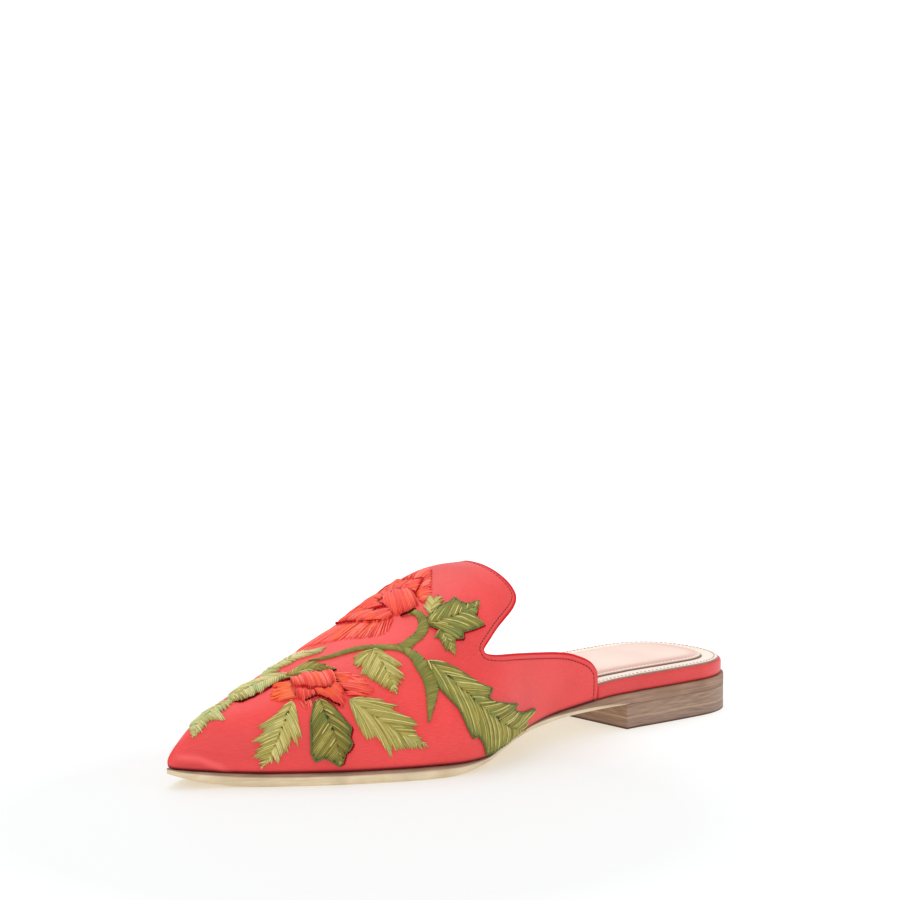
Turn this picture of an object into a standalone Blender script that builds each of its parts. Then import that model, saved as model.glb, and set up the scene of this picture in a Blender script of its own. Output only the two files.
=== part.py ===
"""Left mule, a flat pointed slipper: satin upper with raised floral applique, leather sole, low stacked heel.

Frame: +X towards the toe, +Y to the outer (lateral) side, +Z up. Tables are in millimetres, x counted
from the back of the last and y from the heel's centre line; meshes are made in metres.
"""
import bpy
import bmesh
import numpy as np

MM = 0.001
GAP = 0.3                # clearance between pieces that touch
APPLIQUE_GAP = 0.42      # clearance under the applique, whose facets cut a little into the curve
WALL = 1.8               # satin, interlining and lining together
HEEL_HALF = 28.8         # half width of the heel seat
HEEL_BACK = -2.0         # the seat stands out this far behind the last
HEEL_ROUND = 26.0        # where the rounded back of the heel ends
HEEL_POWER = 2.3         # 2 would be an ellipse, more is squarer
WAIST_START = 60.0       # where the feather line takes over from the heel seat
WING_END = 82.2          # rear edge of the upper's side wings
BREAST = 66.6            # front face of the heel
SEAT_TOP = 14.4          # top of the outsole at the heel
SEAT_BOTTOM = 10.0       # underside of the outsole at the heel
TOP_PIECE_HEIGHT = 4.4
HEEL_MARGIN = 1.1        # how far the heel stands out past the footbed
SOCK = 0.9               # thickness of the sock lining
PAD = 0.9                # how far its heel pad stands up
SOCK_INSET = 1.2         # the sock lining's edge, in from the footbed's
PAD_INSET = 8.0          # the heel pad's edge, in from the footbed's
PAD_SLOPE = 0.045        # share of the footbed's width over which the pad's side rises
BED_SLACK = 0.1          # room between the footbed and the upper's wall, past the gap
TIP = 268.0              # station of the toe's tip, along the feather line
TOE_CROWDING = 1.35      # above 1, stations close up towards the toe

FEATHER = np.array([
    # station, x, lateral y, medial y, z of the line where the upper meets the sole
    (60, 60, 27.6, -27.4, 14.6), (75, 75, 27.6, -26.6, 14.5), (84, 84, 27.6, -25.8, 13.9),
    (95, 95, 27.7, -25.0, 12.9), (108, 108, 29.0, -24.8, 11.9), (120, 120, 31.8, -26.0, 10.7),
    (132, 132, 35.8, -28.2, 9.1), (144, 144, 40.4, -31.0, 6.9), (156, 156, 44.0, -33.6, 5.1),
    (168, 168, 44.6, -35.2, 4.6), (182, 182, 41.2, -35.6, 4.7), (198, 198, 34.0, -34.0, 4.7),
    (214, 214, 25.0, -31.2, 4.7), (230, 230, 14.4, -27.2, 4.9), (244, 244, 4.2, -22.6, 5.4),
    (254, 254, -2.8, -18.2, 6.3), (261, 260.6, -7.2, -14.4, 7.1), (265, 263.6, -9.1, -12.5, 7.6),
    (TIP, 264.6, -10.8, -10.8, 7.9)])

RIDGE = np.array([
    # x, y, z of the instep's crest, on to the top of the toe
    (60, -5.0, 68.0), (83, -6.0, 68.5), (100, -7.0, 68.9), (112, -7.6, 69.1), (122, -8.0, 69.3),
    (132, -8.2, 69.3), (142, -8.1, 68.0), (152, -7.9, 64.9), (162, -7.9, 60.2), (175, -8.2, 53.9),
    (190, -8.5, 47.3), (205, -9.0, 41.9), (220, -9.5, 36.5), (234, -10.0, 31.0), (244, -10.4, 26.6),
    (252, -10.6, 22.4), (257.5, -10.8, 18.6)])
CREST_BLEND = 210.0      # from here the crest's stations draw together towards the tip

FULLNESS = np.array([
    # station, lateral power, medial power (2 is an ellipse), lateral swell, medial swell over the feather
    (60, 2.9, 2.9, 1.0, 1.0),
    (83, 2.7, 2.7, 2.2, 2.2),
    (100, 2.6, 2.6, 3.4, 3.4),
    (120, 2.45, 2.45, 4.0, 4.0),
    (140, 2.15, 2.3, 4.4, 4.4),
    (170, 1.9, 2.2, 2.4, 3.0),
    (200, 1.85, 2.1, 1.6, 2.4),
    (230, 1.9, 2.0, 1.4, 1.6),
    (250, 2.1, 2.1, 1.0, 1.0),
    (TIP, 2.3, 2.3, 0.6, 0.6)])
SWELL_TOP = 0.7          # share of the rib's rise at which the swell has died out

TOPLINE = np.array([
    # share of the rib from feather (0) to crest (1), x of the upper's cut edge, lateral and medial
    (0.0, 82.2, 82.2), (0.06, 82.4, 82.5), (0.09, 82.6, 83.6), (0.112, 82.8, 86.2), (0.133, 83.0, 90.2),
    (0.164, 84.5, 96.4), (0.197, 87.6, 102.6), (0.227, 92.8, 108.2), (0.25, 98.2, 112.6),
    (0.268, 105.0, 116.4), (0.29, 115.4, 121.6), (0.318, 127.4, 129.4), (0.353, 138.6, 138.6),
    (0.378, 143.9, 143.9), (0.395, 146.2, 146.2), (0.411, 146.6, 146.6), (0.432, 141.0, 141.0),
    (0.453, 135.2, 135.2), (0.472, 129.6, 129.6), (0.495, 124.1, 124.1), (0.523, 120.0, 120.0),
    (0.555, 117.7, 117.7), (0.604, 116.8, 116.8), (0.655, 116.8, 116.8), (0.717, 117.2, 117.2),
    (0.787, 117.6, 117.6), (0.858, 117.7, 117.7), (0.934, 117.6, 117.6), (1.0, 117.5, 117.5)])

SOLE_BOTTOM = np.array([
    # x, z of the outsole's underside from the heel's breast over the arch to the toe spring
    (0, SEAT_BOTTOM), (66, SEAT_BOTTOM), (75, 10.0), (84, 10.0), (95, 9.8), (108, 9.2), (120, 8.2),
    (132, 6.9), (144, 4.8), (154, 2.9), (161, 1.8), (167, 0.8), (172, 0.2), (176, 0.0), (236, 0.0),
    (244, 0.4), (254, 1.8), (261, 3.3), (266, 4.6)])
SOLE_FLAT = (176.0, 236.0)   # the forefoot's spot on the floor

SOLE_MARGIN = np.array([
    # station, how far the sole's edge stands out past the feather line; the waist is trimmed in under it
    (HEEL_BACK, HEEL_MARGIN), (66, HEEL_MARGIN), (90, 0.8), (108, 0.3), (124, -0.6), (144, -0.8), (157, 0.2),
    (170, 0.9), (TIP, 0.9)])

BED_THICKNESS = np.array([
    # x, thickness of the footbed
    (0, 5.5), (70, 5.5), (90, 5.1), (115, 4.2), (140, 3.3), (165, 2.8), (266, 2.6)])


def spline(rows, at):
    """Smooth curve through the rows: the first column is the station, the rest are read there."""
    station, value = rows[:, 0], rows[:, 1:]
    span = np.diff(station)
    rate = np.diff(value, axis=0) / span[:, None]
    middle = span[1:, None] * rate[:-1] + span[:-1, None] * rate[1:]
    slope = np.vstack([rate[:1], middle / (span[1:] + span[:-1])[:, None], rate[-1:]])
    at = np.clip(np.asarray(at, float), station[0], station[-1])
    i = np.clip(np.searchsorted(station, at, side="right") - 1, 0, len(span) - 1)
    w = span[i][..., None]
    u = ((at - station[i]) / span[i])[..., None]
    return ((1 + 2 * u) * (1 - u) ** 2 * value[i] + u * (1 - u) ** 2 * w * slope[i]
            + u * u * (3 - 2 * u) * value[i + 1] + u * u * (u - 1) * w * slope[i + 1])


def feather(side, station):
    """x, y, z of the feather line; the other side's rows follow the tip, so the toe is round."""
    near, far = (2, 3) if side > 0 else (3, 2)
    beyond = FEATHER[-2::-1][:, [0, 1, far, 4]]
    beyond[:, 0] = 2 * TIP - beyond[:, 0]
    return spline(np.vstack([FEATHER[:, [0, 1, near, 4]], beyond]), station)


def crest(station):
    """x, y, z of the crest, and its slope along x; its stations slow down to a stop at the tip."""
    end = RIDGE[-1, 0]
    span, run = TIP - CREST_BLEND, end - CREST_BLEND
    u = np.clip((station - CREST_BLEND) / span, 0, 1)
    slowed = CREST_BLEND + span * u + (3 * run - 2 * span) * u ** 2 + (span - 2 * run) * u ** 3
    x = np.where(station < CREST_BLEND, station, slowed)
    ahead = np.minimum(x + 0.5, end)
    slope = spline(RIDGE, ahead)[..., 1] - spline(RIDGE, ahead - 1.0)[..., 1]
    return np.concatenate([x[..., None], spline(RIDGE, x)], -1), slope


def half_skin(side, station, share):
    """Outer face of one side of the last: a superellipse rib from the feather line to the crest."""
    foot = feather(side, station)
    top, slope = crest(station)
    full = spline(FULLNESS, station)
    power = full[..., 0] if side > 0 else full[..., 1]
    swell = full[..., 2] if side > 0 else full[..., 3]
    angle = share * np.pi / 2
    radius = (np.abs(np.cos(angle)) ** power + np.abs(np.sin(angle)) ** power) ** (-1 / power)
    across, rise = radius * np.cos(angle), radius * np.sin(angle)
    reach = foot[..., :2] - top[..., :2]
    out = reach / np.linalg.norm(reach, axis=-1, keepdims=True)
    low = np.clip(rise / SWELL_TOP, 0, 1)
    puff = swell * np.sin(np.pi * low) * (1 - low)
    plan = top[..., :2] + reach * across[..., None] + out * puff[..., None]
    height = foot[..., 2] + (top[..., 2] - foot[..., 2]) * rise
    height = height + slope * (plan[..., 0] - top[..., 0]) * rise ** 2
    return np.concatenate([plan, height[..., None]], -1)


def skin(station, strap):
    """Whole outer face: strap runs 0 at the lateral feather, 1 at the crest, 2 at the medial feather."""
    station, strap = np.broadcast_arrays(np.asarray(station, float), np.asarray(strap, float))
    lateral = half_skin(1, station, strap)
    medial = half_skin(-1, station, 2 - strap)
    return np.where((strap <= 1)[..., None], lateral, medial)


def lifted(station, strap, lift):
    """The outer face moved out along its own normal."""
    step_x, step_s = 0.25, 0.004
    along = skin(station + step_x, strap) - skin(station - step_x, strap)
    over = skin(station, strap + step_s) - skin(station, strap - step_s)
    normal = np.cross(over, along)
    normal /= np.linalg.norm(normal, axis=-1, keepdims=True)
    return skin(station, strap) + normal * np.asarray(lift)[..., None]


def at_height(station, height):
    """Strap value at a height in mm, measured along the rib from the lateral feather line."""
    samples = np.linspace(0, 2, 97)
    rib = skin(station[..., None], samples)
    steps = np.linalg.norm(np.diff(rib, axis=-2), axis=-1)
    length = np.concatenate([np.zeros(steps.shape[:-1] + (1,)), np.cumsum(steps, -1)], -1)
    i = np.clip((length < height[..., None]).sum(-1) - 1, 0, len(samples) - 2)
    low = np.take_along_axis(length, i[..., None], -1)[..., 0]
    high = np.take_along_axis(length, i[..., None] + 1, -1)[..., 0]
    return samples[i] + (samples[1] - samples[0]) * (height - low) / (high - low)


def outline(stations, margin):
    """Plan outline at the stations, lateral and medial, moved out by the margin: two arrays of x, y."""
    x = np.minimum(stations, WAIST_START)
    back = 1 - np.clip((HEEL_ROUND - x) / (HEEL_ROUND - HEEL_BACK), 0, 1) ** HEEL_POWER
    ease = np.clip((x - HEEL_ROUND) / (WAIST_START - HEEL_ROUND), 0, 1)
    heel = HEEL_HALF * back ** (1 / HEEL_POWER) - (HEEL_HALF - FEATHER[0, 2]) * ease ** 2
    sides = []
    for side in (1, -1):
        foot = feather(side, stations)
        plan = np.stack([np.where(stations < WAIST_START, stations, foot[..., 0]),
                         np.where(stations < WAIST_START, side * heel, foot[..., 1])], -1)
        sides.append(plan)
    loop = np.vstack([sides[0], sides[1][::-1]])
    run = np.roll(loop, -1, axis=0) - np.roll(loop, 1, axis=0)
    run[[0, -1]] = (0, 1)
    middle = len(stations)
    run[[middle - 1, middle]] = (0, -1) if stations[-1] == TIP else run[[middle - 2, middle + 1]]
    normal = np.stack([-run[:, 1], run[:, 0]], -1)
    normal /= np.linalg.norm(normal, axis=-1, keepdims=True)
    loop = loop + normal * np.concatenate([margin, margin[::-1]])[:, None]
    return loop[:middle], loop[middle:][::-1]


def heel_stations(count):
    """Stations round the back of the heel, close together where it turns."""
    return HEEL_ROUND - (HEEL_ROUND - HEEL_BACK) * np.cos(np.linspace(0, np.pi / 2, count))


def foot_stations(count):
    """Stations from the heel's round to the tip, closing up at the toe."""
    return HEEL_ROUND + (TIP - HEEL_ROUND) * (1 - (1 - np.linspace(0, 1, count)) ** TOE_CROWDING)


def material(name, colour, roughness, metallic=0.0):
    made = bpy.data.materials.new(name)
    made.use_nodes = True
    shader = made.node_tree.nodes["Principled BSDF"]
    shader.inputs["Base Color"].default_value = (*colour, 1.0)
    shader.inputs["Roughness"].default_value = roughness
    shader.inputs["Metallic"].default_value = metallic
    return made


def add_piece(name, mesh, look):
    mesh.shade_smooth()
    mesh.set_sharp_from_angle(angle=0.7)
    piece = bpy.data.objects.new(name, mesh)
    piece.data.materials.append(look)
    parts.objects.link(piece)
    return piece


def loft(name, rings, look):
    """Closed solid through closed rings; ring point j faces point -1-j across the piece, which caps it."""
    count, size = rings.shape[:2]
    shape = bmesh.new()
    grid = [[shape.verts.new(point) for point in ring] for ring in rings * MM]
    for i in range(count - 1):
        for j in range(size):
            k = (j + 1) % size
            shape.faces.new((grid[i][j], grid[i][k], grid[i + 1][k], grid[i + 1][j]))
    for ring in (grid[0], grid[-1]):
        for j in range(size // 2 - 1):
            shape.faces.new((ring[j], ring[j + 1], ring[-2 - j], ring[-1 - j]))
    bmesh.ops.remove_doubles(shape, verts=shape.verts, dist=0.00001)
    bmesh.ops.recalc_face_normals(shape, faces=shape.faces)
    mesh = bpy.data.meshes.new(name)
    shape.to_mesh(mesh)
    shape.free()
    return add_piece(name, mesh, look)


def layer(name, stations, margin, profile, look):
    """Sole layer: its outline moved out by the margin, and a profile from the top's middle round to the bottom.

    A profile row is (share, height): share of the way from the edge to the opposite edge, and the height as
    a function of x.
    """
    edges = outline(stations, margin + 0 * stations)
    sides = []
    for own, other in (edges, edges[::-1]):
        points = [own + (other - own) * share for share, _ in profile]
        sides.append([np.column_stack([plan, height(plan[:, 0])]) for plan, (_, height) in zip(points, profile)])
    return loft(name, np.stack(sides[0] + sides[1][::-1], 1), look)


def level(height):
    return lambda x: height + 0 * x


def sole_bottom(x):
    flat = (x >= SOLE_FLAT[0]) & (x <= SOLE_FLAT[1])
    return np.where(flat, 0.0, np.maximum(spline(SOLE_BOTTOM, x)[..., 0], 0.0))


def sole_top(x):
    """Top of the outsole: level under the heel, then just below the feather line."""
    return np.where(x < WAIST_START, SEAT_TOP, spline(FEATHER[:, [1, 4]], x)[..., 0] - GAP)


def bed_top(x):
    return sole_top(x) + GAP + spline(BED_THICKNESS, x)[..., 0]


def make_outsole(look):
    """Leather outsole with a flat forefoot, hollow arch and toe spring; its lower edge is bevelled."""
    stations = np.concatenate([heel_stations(9), foot_stations(37)[1:]])
    layer("outsole", stations, spline(SOLE_MARGIN, stations)[..., 0], [
        (0.1, sole_top), (0.0, sole_top), (0.0, lambda x: sole_bottom(x) + 0.9), (0.012, sole_bottom)], look)


def make_heel(lift_look, piece_look):
    """Stacked heel: a lift under the seat and a top piece on the floor, both with a straight breast."""
    stations = np.concatenate([heel_stations(10), np.linspace(HEEL_ROUND, BREAST, 6)[1:]])
    for name, low, high, look in (("heel_lift", TOP_PIECE_HEIGHT + GAP, SEAT_BOTTOM - GAP, lift_look),
                                  ("heel_top_piece", 0.0, TOP_PIECE_HEIGHT, piece_look)):
        layer(name, stations, HEEL_MARGIN, [(0.0, level(high)), (0.0, level(low))], look)


def bed_stations():
    """Stations of the footbed, closer at the short step in its side where the wings start."""
    step = WING_END + np.array([-1.6, -0.6, 0.2, 1.2])
    rest = foot_stations(33)[1:]
    return np.unique(np.concatenate([heel_stations(11), rest[np.abs(rest - WING_END) > 3.0], step]))


def make_insole(board_look, sock_look):
    """Footbed wrapped in satin, and the sock lining on it with its raised heel pad."""
    stations = bed_stations()
    stations = stations[stations < TIP - 4]
    behind = stations < WING_END - 0.2
    layer("insole_board", stations, np.where(behind, 0.0, -WALL - GAP - BED_SLACK), [
        (0.2, bed_top), (0.025, bed_top), (0.006, lambda x: bed_top(x) - 0.4), (0.0, lambda x: bed_top(x) - 1.3),
        (0.0, lambda x: sole_top(x) + GAP + 0.9), (0.012, lambda x: sole_top(x) + GAP)], board_look)
    inside = stations < TIP - 10
    stations, behind = stations[inside], behind[inside]

    def pad_top(x):
        raised = np.clip((x - HEEL_BACK - PAD_INSET) / 3, 0, 1) * np.clip((150 - x) / 30, 0, 1)
        return bed_top(x) + GAP + SOCK + PAD * raised

    pad_share = (PAD_INSET - SOCK_INSET) / (2 * (HEEL_HALF - SOCK_INSET))
    layer("insole_sock", stations, np.where(behind, -SOCK_INSET, -WALL - 1.6), [
        (0.3, pad_top), (pad_share + PAD_SLOPE, pad_top), (pad_share, lambda x: bed_top(x) + GAP + SOCK),
        (0.0, lambda x: bed_top(x) + GAP + SOCK), (0.0, lambda x: bed_top(x) + GAP)], sock_look)


def throat(strap):
    """x of the upper's cut edge at a strap value; the medial wing is cut lower than the lateral one."""
    cut = spline(TOPLINE, 1 - np.abs(1 - strap))
    return np.where(strap <= 1, cut[..., 0], cut[..., 1])


def even_straps(count):
    """Strap values from feather to feather, alike on both sides, even along the upper's cut edges' mean."""
    fine = np.linspace(0, 1, 801)
    half = 0
    for strap in (fine, 2 - fine):
        edge = skin(throat(strap), strap)
        length = np.concatenate([[0], np.cumsum(np.linalg.norm(np.diff(edge, axis=0), axis=1))])
        half = half + np.interp(np.linspace(0, length[-1], count), length, fine) / 2
    return np.concatenate([half, 2 - half[-2::-1]])


def make_upper(look, rows=22, columns=29):
    """Open shell between the feather line, the cut edge and the toe's tip, then its wall's thickness."""
    strap = even_straps(rows)
    w = 1 - (1 - np.linspace(0, 1, columns)) ** TOE_CROWDING
    w, strap = np.meshgrid(w, strap, indexing="ij")
    station = WING_END + (TIP - WING_END) * w + (throat(strap) - WING_END) * (1 - w) ** 2
    points = skin(station, strap)
    shape = bmesh.new()
    grid = [[shape.verts.new(point) for point in row] for row in points * MM]
    for i in range(points.shape[0] - 1):
        for j in range(points.shape[1] - 1):
            shape.faces.new((grid[i][j], grid[i][j + 1], grid[i + 1][j + 1], grid[i + 1][j]))
    bmesh.ops.remove_doubles(shape, verts=shape.verts, dist=0.00001)
    mesh = bpy.data.meshes.new("upper")
    shape.to_mesh(mesh)
    shape.free()
    upper = add_piece("upper", mesh, look)
    wall = upper.modifiers.new("wall", "SOLIDIFY")
    wall.thickness = WALL * MM
    wall.offset = -1.0
    wall.use_even_offset = True


def patch(name, middle, direction, half_widths, heights, look):
    """Raised patch on the skin: a midline in (x, height), its half widths each side, its edge and middle height."""
    across = np.linspace(-1, 1, 7)
    edge, crown = heights
    lift = edge + (crown - edge) * (1 - np.abs(across) ** 1.5)
    normal = np.stack([-direction[:, 1], direction[:, 0]], -1)
    width = np.where(across < 0, half_widths[:, :1], half_widths[:, 1:])
    flat = middle[:, None] + normal[:, None] * (width * across)[..., None]
    strap = at_height(flat[..., 0], flat[..., 1])
    top = lifted(flat[..., 0], strap, np.broadcast_to(lift, strap.shape))
    base = lifted(flat[..., 0], strap, np.full(strap.shape, APPLIQUE_GAP))
    loft(name, np.concatenate([top, base[:, ::-1]], 1), look)


def leaf(name, base, tip, below, above, widest, teeth, heights, look, notch=0.30):
    """Leaf with saw teeth that point to its tip: two stations a tooth, one in the notch, one at the point."""
    base, tip = np.array(base, float), np.array(tip, float)
    length = np.linalg.norm(tip - base)
    direction = (tip - base) / length
    k = np.arange(2 * teeth + 1)
    s = (k // 2 + np.where(k % 2, 0.82, 0.0)) / teeth
    s[0], s[-1] = 0.02, 0.995
    bow = np.sin(np.pi * s ** (np.log(0.5) / np.log(widest))) ** 0.75
    tooth = np.where(k % 2, 1.0, 1.0 - notch)
    half = np.maximum(bow * tooth, 0.06)
    middle = base + direction * (s * length)[:, None]
    patch(name, middle, np.tile(direction, (len(s), 1)), half[:, None] * np.array([below, above]), heights, look)


def stem(name, route, heights, look, count=22):
    """Stem along a smooth route: rows of x, height and half width."""
    route = np.array(route, float)
    run = np.concatenate([[0], np.cumsum(np.linalg.norm(np.diff(route[:, :2], axis=0), axis=1))])
    along = spline(np.column_stack([run, route]), np.linspace(0, run[-1], count))
    direction = np.gradient(along[:, :2], axis=0)
    direction /= np.linalg.norm(direction, axis=1, keepdims=True)
    patch(name, along[:, :2], direction, np.column_stack([along[:, 2]] * 2), heights, look)


LEAVES = [
    # name, base x and height, tip x and height, width below and above the rib, widest, teeth, edge and crown, tone
    ("leaf_toe", (238, 32.4), (257, 14.4), 5.0, 3.6, 0.35, 3, (0.8, 1.2), "pale"),
    ("leaf_crest_front", (214.5, 49.8), (234, 38.4), 4.6, 3.6, 0.5, 3, (1.1, 1.7), "pale"),
    ("leaf_crest_rear", (217, 57.3), (195, 61.3), 3.0, 2.6, 0.5, 3, (0.6, 1.0), "pale"),
    ("leaf_calyx", (216, 43), (199.5, 44.4), 5.4, 1.6, 0.55, 3, (0.9, 1.5), "olive"),
    ("leaf_low_front", (221.5, 27.8), (236.5, 2.9), 6.8, 6.8, 0.55, 3, (0.7, 1.2), "light"),
    ("leaf_low_middle", (212.5, 28.4), (213.5, 2.4), 7.0, 6.4, 0.60, 3, (1.3, 1.9), "olive"),
    ("leaf_low_rear", (202.5, 28), (183.5, 7.4), 7.0, 9.5, 0.60, 3, (0.7, 1.2), "light"),
    ("leaf_middle", (187.5, 49.8), (187.5, 29.8), 7.5, 7.5, 0.42, 3, (0.7, 1.2), "light"),
    ("leaf_long", (169.8, 41.1), (131.5, 3.6), 8.4, 10.6, 0.74, 5, (0.9, 1.5), "dark"),
    ("leaf_throat", (158.4, 59.3), (139.5, 53.6), 7.0, 7.2, 0.55, 3, (1.2, 1.8), "dark"),
    ("leaf_throat_small", (156.8, 67.1), (151.0, 71.5), 3.0, 3.0, 0.5, 2, (0.7, 1.0), "light"),
    ("leaf_throat_low", (162.0, 52.4), (160.5, 41.9), 3.2, 3.2, 0.55, 2, (0.7, 1.1), "dark")]

PETALS = [
    # the lower bloom's folded petals, then the upper bloom's, which lap over the crest
    ("petal_low_fold", (216, 38.8), (201, 40), 1.8, 1.6, 0.5, 2, (1.2, 2.2), "coral"),
    ("petal_low_left", (212.8, 35.4), (221.5, 31), 2.5, 2.5, 0.5, 2, (0.9, 1.6), "coral"),
    ("petal_low_centre", (211.0, 35.6), (203.8, 31), 3.4, 2.0, 0.5, 2, (1.2, 2.2), "coral"),
    ("petal_low_right", (201.6, 35.2), (191.0, 31.2), 3.2, 3.0, 0.5, 2, (0.9, 1.6), "coral"),
    ("petal_top_round", (168.5, 73.6), (153.5, 79.2), 6.8, 5.6, 0.55, 2, (1.6, 2.6), "coral"),
    ("petal_top_front", (170.0, 73.1), (180.5, 77.3), 2.8, 3.0, 0.5, 2, (1.2, 2.0), "coral"),
    ("petal_top_crest", (169.0, 83.3), (182.0, 86.8), 3.2, 4.6, 0.5, 2, (1.2, 2.0), "coral"),
    ("petal_top_rear", (152.0, 82.6), (144.5, 87.1), 4.0, 4.0, 0.5, 2, (1.2, 2.0), "coral"),
    ("petal_top_far", (163.5, 87.8), (168.0, 99.1), 4.6, 4.6, 0.5, 2, (1.2, 2.0), "coral"),
    ("petal_top_inner", (155.5, 89.7), (152.0, 100.1), 4.4, 4.4, 0.5, 2, (1.2, 2.0), "coral")]

STEM_MAIN = [
    # x, height, half width
    (207.5, 52.4, 0.5), (200, 53.6, 0.8), (192, 55.4, 1.0), (184, 54.4, 1.2), (178, 52.7, 1.6),
    (172.5, 53.4, 2.0), (167, 56.5, 2.2), (163.4, 60.9, 2.2), (162.2, 64.7, 1.6), (163.2, 67.3, 0.6)]
STEM_LOWER = [
    (175.8, 47.5, 1.2), (174.8, 42.8, 2.2), (174.8, 36.3, 2.6), (175.4, 29.6, 2.1), (177.4, 23.3, 1.3),
    (181.0, 17.4, 0.3)]


def make_applique(looks):
    """Every leaf, petal and stem stands just off the satin, on the last's own surface."""
    for name, base, tip, below, above, widest, teeth, heights, tone in LEAVES:
        leaf(name, base, tip, below, above, widest, teeth, heights, looks[tone])
    for name, base, tip, below, above, widest, teeth, heights, tone in PETALS:
        leaf(name, base, tip, below, above, widest, teeth, heights, looks[tone], notch=0.08)
    stem("stem_main", STEM_MAIN, (0.6, 1.1), looks["olive"])
    stem("stem_lower", STEM_LOWER, (0.6, 1.1), looks["olive"], count=12)


def centre_on_floor(collection):
    """Moves the meshes so that the origin is under the middle of the shoe's box, on the floor."""
    corners = np.array([vertex.co for piece in collection.objects for vertex in piece.data.vertices])
    low, high = corners.min(axis=0), corners.max(axis=0)
    shift = -np.array([(low[0] + high[0]) / 2, (low[1] + high[1]) / 2, low[2]])
    for piece in collection.objects:
        for vertex in piece.data.vertices:
            vertex.co += type(vertex.co)(shift)


for old in list(bpy.data.objects):
    bpy.data.objects.remove(old, do_unlink=True)
parts = bpy.data.collections.new("mule")
bpy.context.scene.collection.children.link(parts)

satin = material("satin", (0.81, 0.08, 0.08), 0.45)
sole_leather = material("sole leather", (0.79, 0.66, 0.46), 0.6)
stack_leather = material("stacked leather", (0.27, 0.18, 0.12), 0.5)
top_leather = material("heel top piece", (0.22, 0.14, 0.10), 0.55)
sock_leather = material("sock leather", (0.83, 0.60, 0.55), 0.4)
threads = {
    "pale": material("pale green thread", (0.50, 0.56, 0.26), 0.6),
    "light": material("light green thread", (0.47, 0.43, 0.14), 0.6),
    "olive": material("olive thread", (0.26, 0.28, 0.06), 0.6),
    "dark": material("dark olive thread", (0.20, 0.20, 0.05), 0.6),
    "coral": material("coral thread", (0.86, 0.08, 0.05), 0.5)}

make_outsole(sole_leather)
make_heel(stack_leather, top_leather)
make_insole(satin, sock_leather)
make_upper(satin)
make_applique(threads)
centre_on_floor(parts)
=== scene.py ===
"""Left pointed mule: satin upper with padded silk embroidery, leather sole and low stacked heel.

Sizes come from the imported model. Shapes are worked out in shoe millimetres: x from the back of the heel
towards the toe, y from the heel's centre line towards the outer side, z up from the floor.
"""
import bpy
import bmesh
import numpy as np
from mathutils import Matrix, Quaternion, Vector


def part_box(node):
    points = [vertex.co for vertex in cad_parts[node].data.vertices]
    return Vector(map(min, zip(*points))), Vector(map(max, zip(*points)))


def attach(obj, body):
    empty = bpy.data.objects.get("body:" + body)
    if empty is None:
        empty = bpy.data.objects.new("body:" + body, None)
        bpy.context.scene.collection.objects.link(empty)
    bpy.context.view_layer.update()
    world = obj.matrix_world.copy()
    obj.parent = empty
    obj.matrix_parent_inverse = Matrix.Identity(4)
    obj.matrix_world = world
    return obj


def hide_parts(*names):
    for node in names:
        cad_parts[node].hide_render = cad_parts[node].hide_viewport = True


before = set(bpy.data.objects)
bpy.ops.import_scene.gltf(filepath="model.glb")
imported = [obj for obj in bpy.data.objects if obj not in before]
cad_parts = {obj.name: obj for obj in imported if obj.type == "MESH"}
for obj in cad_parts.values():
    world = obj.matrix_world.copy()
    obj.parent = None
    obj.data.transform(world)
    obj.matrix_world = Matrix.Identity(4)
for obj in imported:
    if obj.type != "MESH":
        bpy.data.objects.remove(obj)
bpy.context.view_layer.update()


# ---------------------------------------------------------------------------------------------- outsole
# A single leather outsole, cut to the last's outline, flat under the ball of the foot, hollow at the
# waist and sprung at the toe. Its edge is trimmed square, bevelled below and left natural; at the heel it
# is stained brown with the stack; along the waist and forefoot a brown band at its top is painted shade
# under the upper, mixed with stain at the waist.

HEEL_HALF = 28.8         # half width of the heel seat
HEEL_BACK = -2.0         # the seat stands out this far behind the last
HEEL_ROUND = 26.0        # where the rounded back of the heel ends
HEEL_POWER = 2.3         # 2 would be an ellipse, more is squarer
WAIST_START = 60.0       # where the feather line takes over from the heel seat
SEAT_TOP = 14.4
SEAT_BOTTOM = 10.0
GAP = 0.3                # the leather below ends this far under the upper
TIP = 268.0              # station of the toe's tip along the feather line
HEEL_MARGIN = 1.1        # how far the heel stands out past the footbed
HEEL_FRONT = 66.0        # the edge is all brown as far as this
SOLE_FLAT = (176.0, 236.0)

FEATHER = np.array([
    # station, x, lateral y, medial y, z of the line where the upper meets the sole
    (60, 60, 27.6, -27.4, 14.6), (75, 75, 27.6, -26.6, 14.5), (84, 84, 27.6, -25.8, 13.9),
    (95, 95, 27.7, -25.0, 12.9), (108, 108, 29.0, -24.8, 11.9), (120, 120, 31.8, -26.0, 10.7),
    (132, 132, 35.8, -28.2, 9.1), (144, 144, 40.4, -31.0, 6.9), (156, 156, 44.0, -33.6, 5.1),
    (168, 168, 44.6, -35.2, 4.6), (182, 182, 41.2, -35.6, 4.7), (198, 198, 34.0, -34.0, 4.7),
    (214, 214, 25.0, -31.2, 4.7), (230, 230, 14.4, -27.2, 4.9), (244, 244, 4.2, -22.6, 5.4),
    (254, 254, -2.8, -18.2, 6.3), (261, 260.6, -7.2, -14.4, 7.1), (265, 263.6, -9.1, -12.5, 7.6),
    (TIP, 264.6, -10.8, -10.8, 7.9)])

SOLE_BOTTOM = np.array([
    # x, z of the outsole's underside from the heel's breast over the arch to the toe spring
    (0, SEAT_BOTTOM), (HEEL_FRONT, SEAT_BOTTOM), (75, 10.0), (84, 10.0), (95, 9.8), (108, 9.2), (120, 8.2),
    (132, 6.9), (144, 4.8), (154, 2.9), (161, 1.8), (167, 0.8), (172, 0.2), (176, 0.0), (236, 0.0),
    (244, 0.4), (254, 2.0), (260, 3.7), (263, 4.9), (266, 6.3)])

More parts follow.
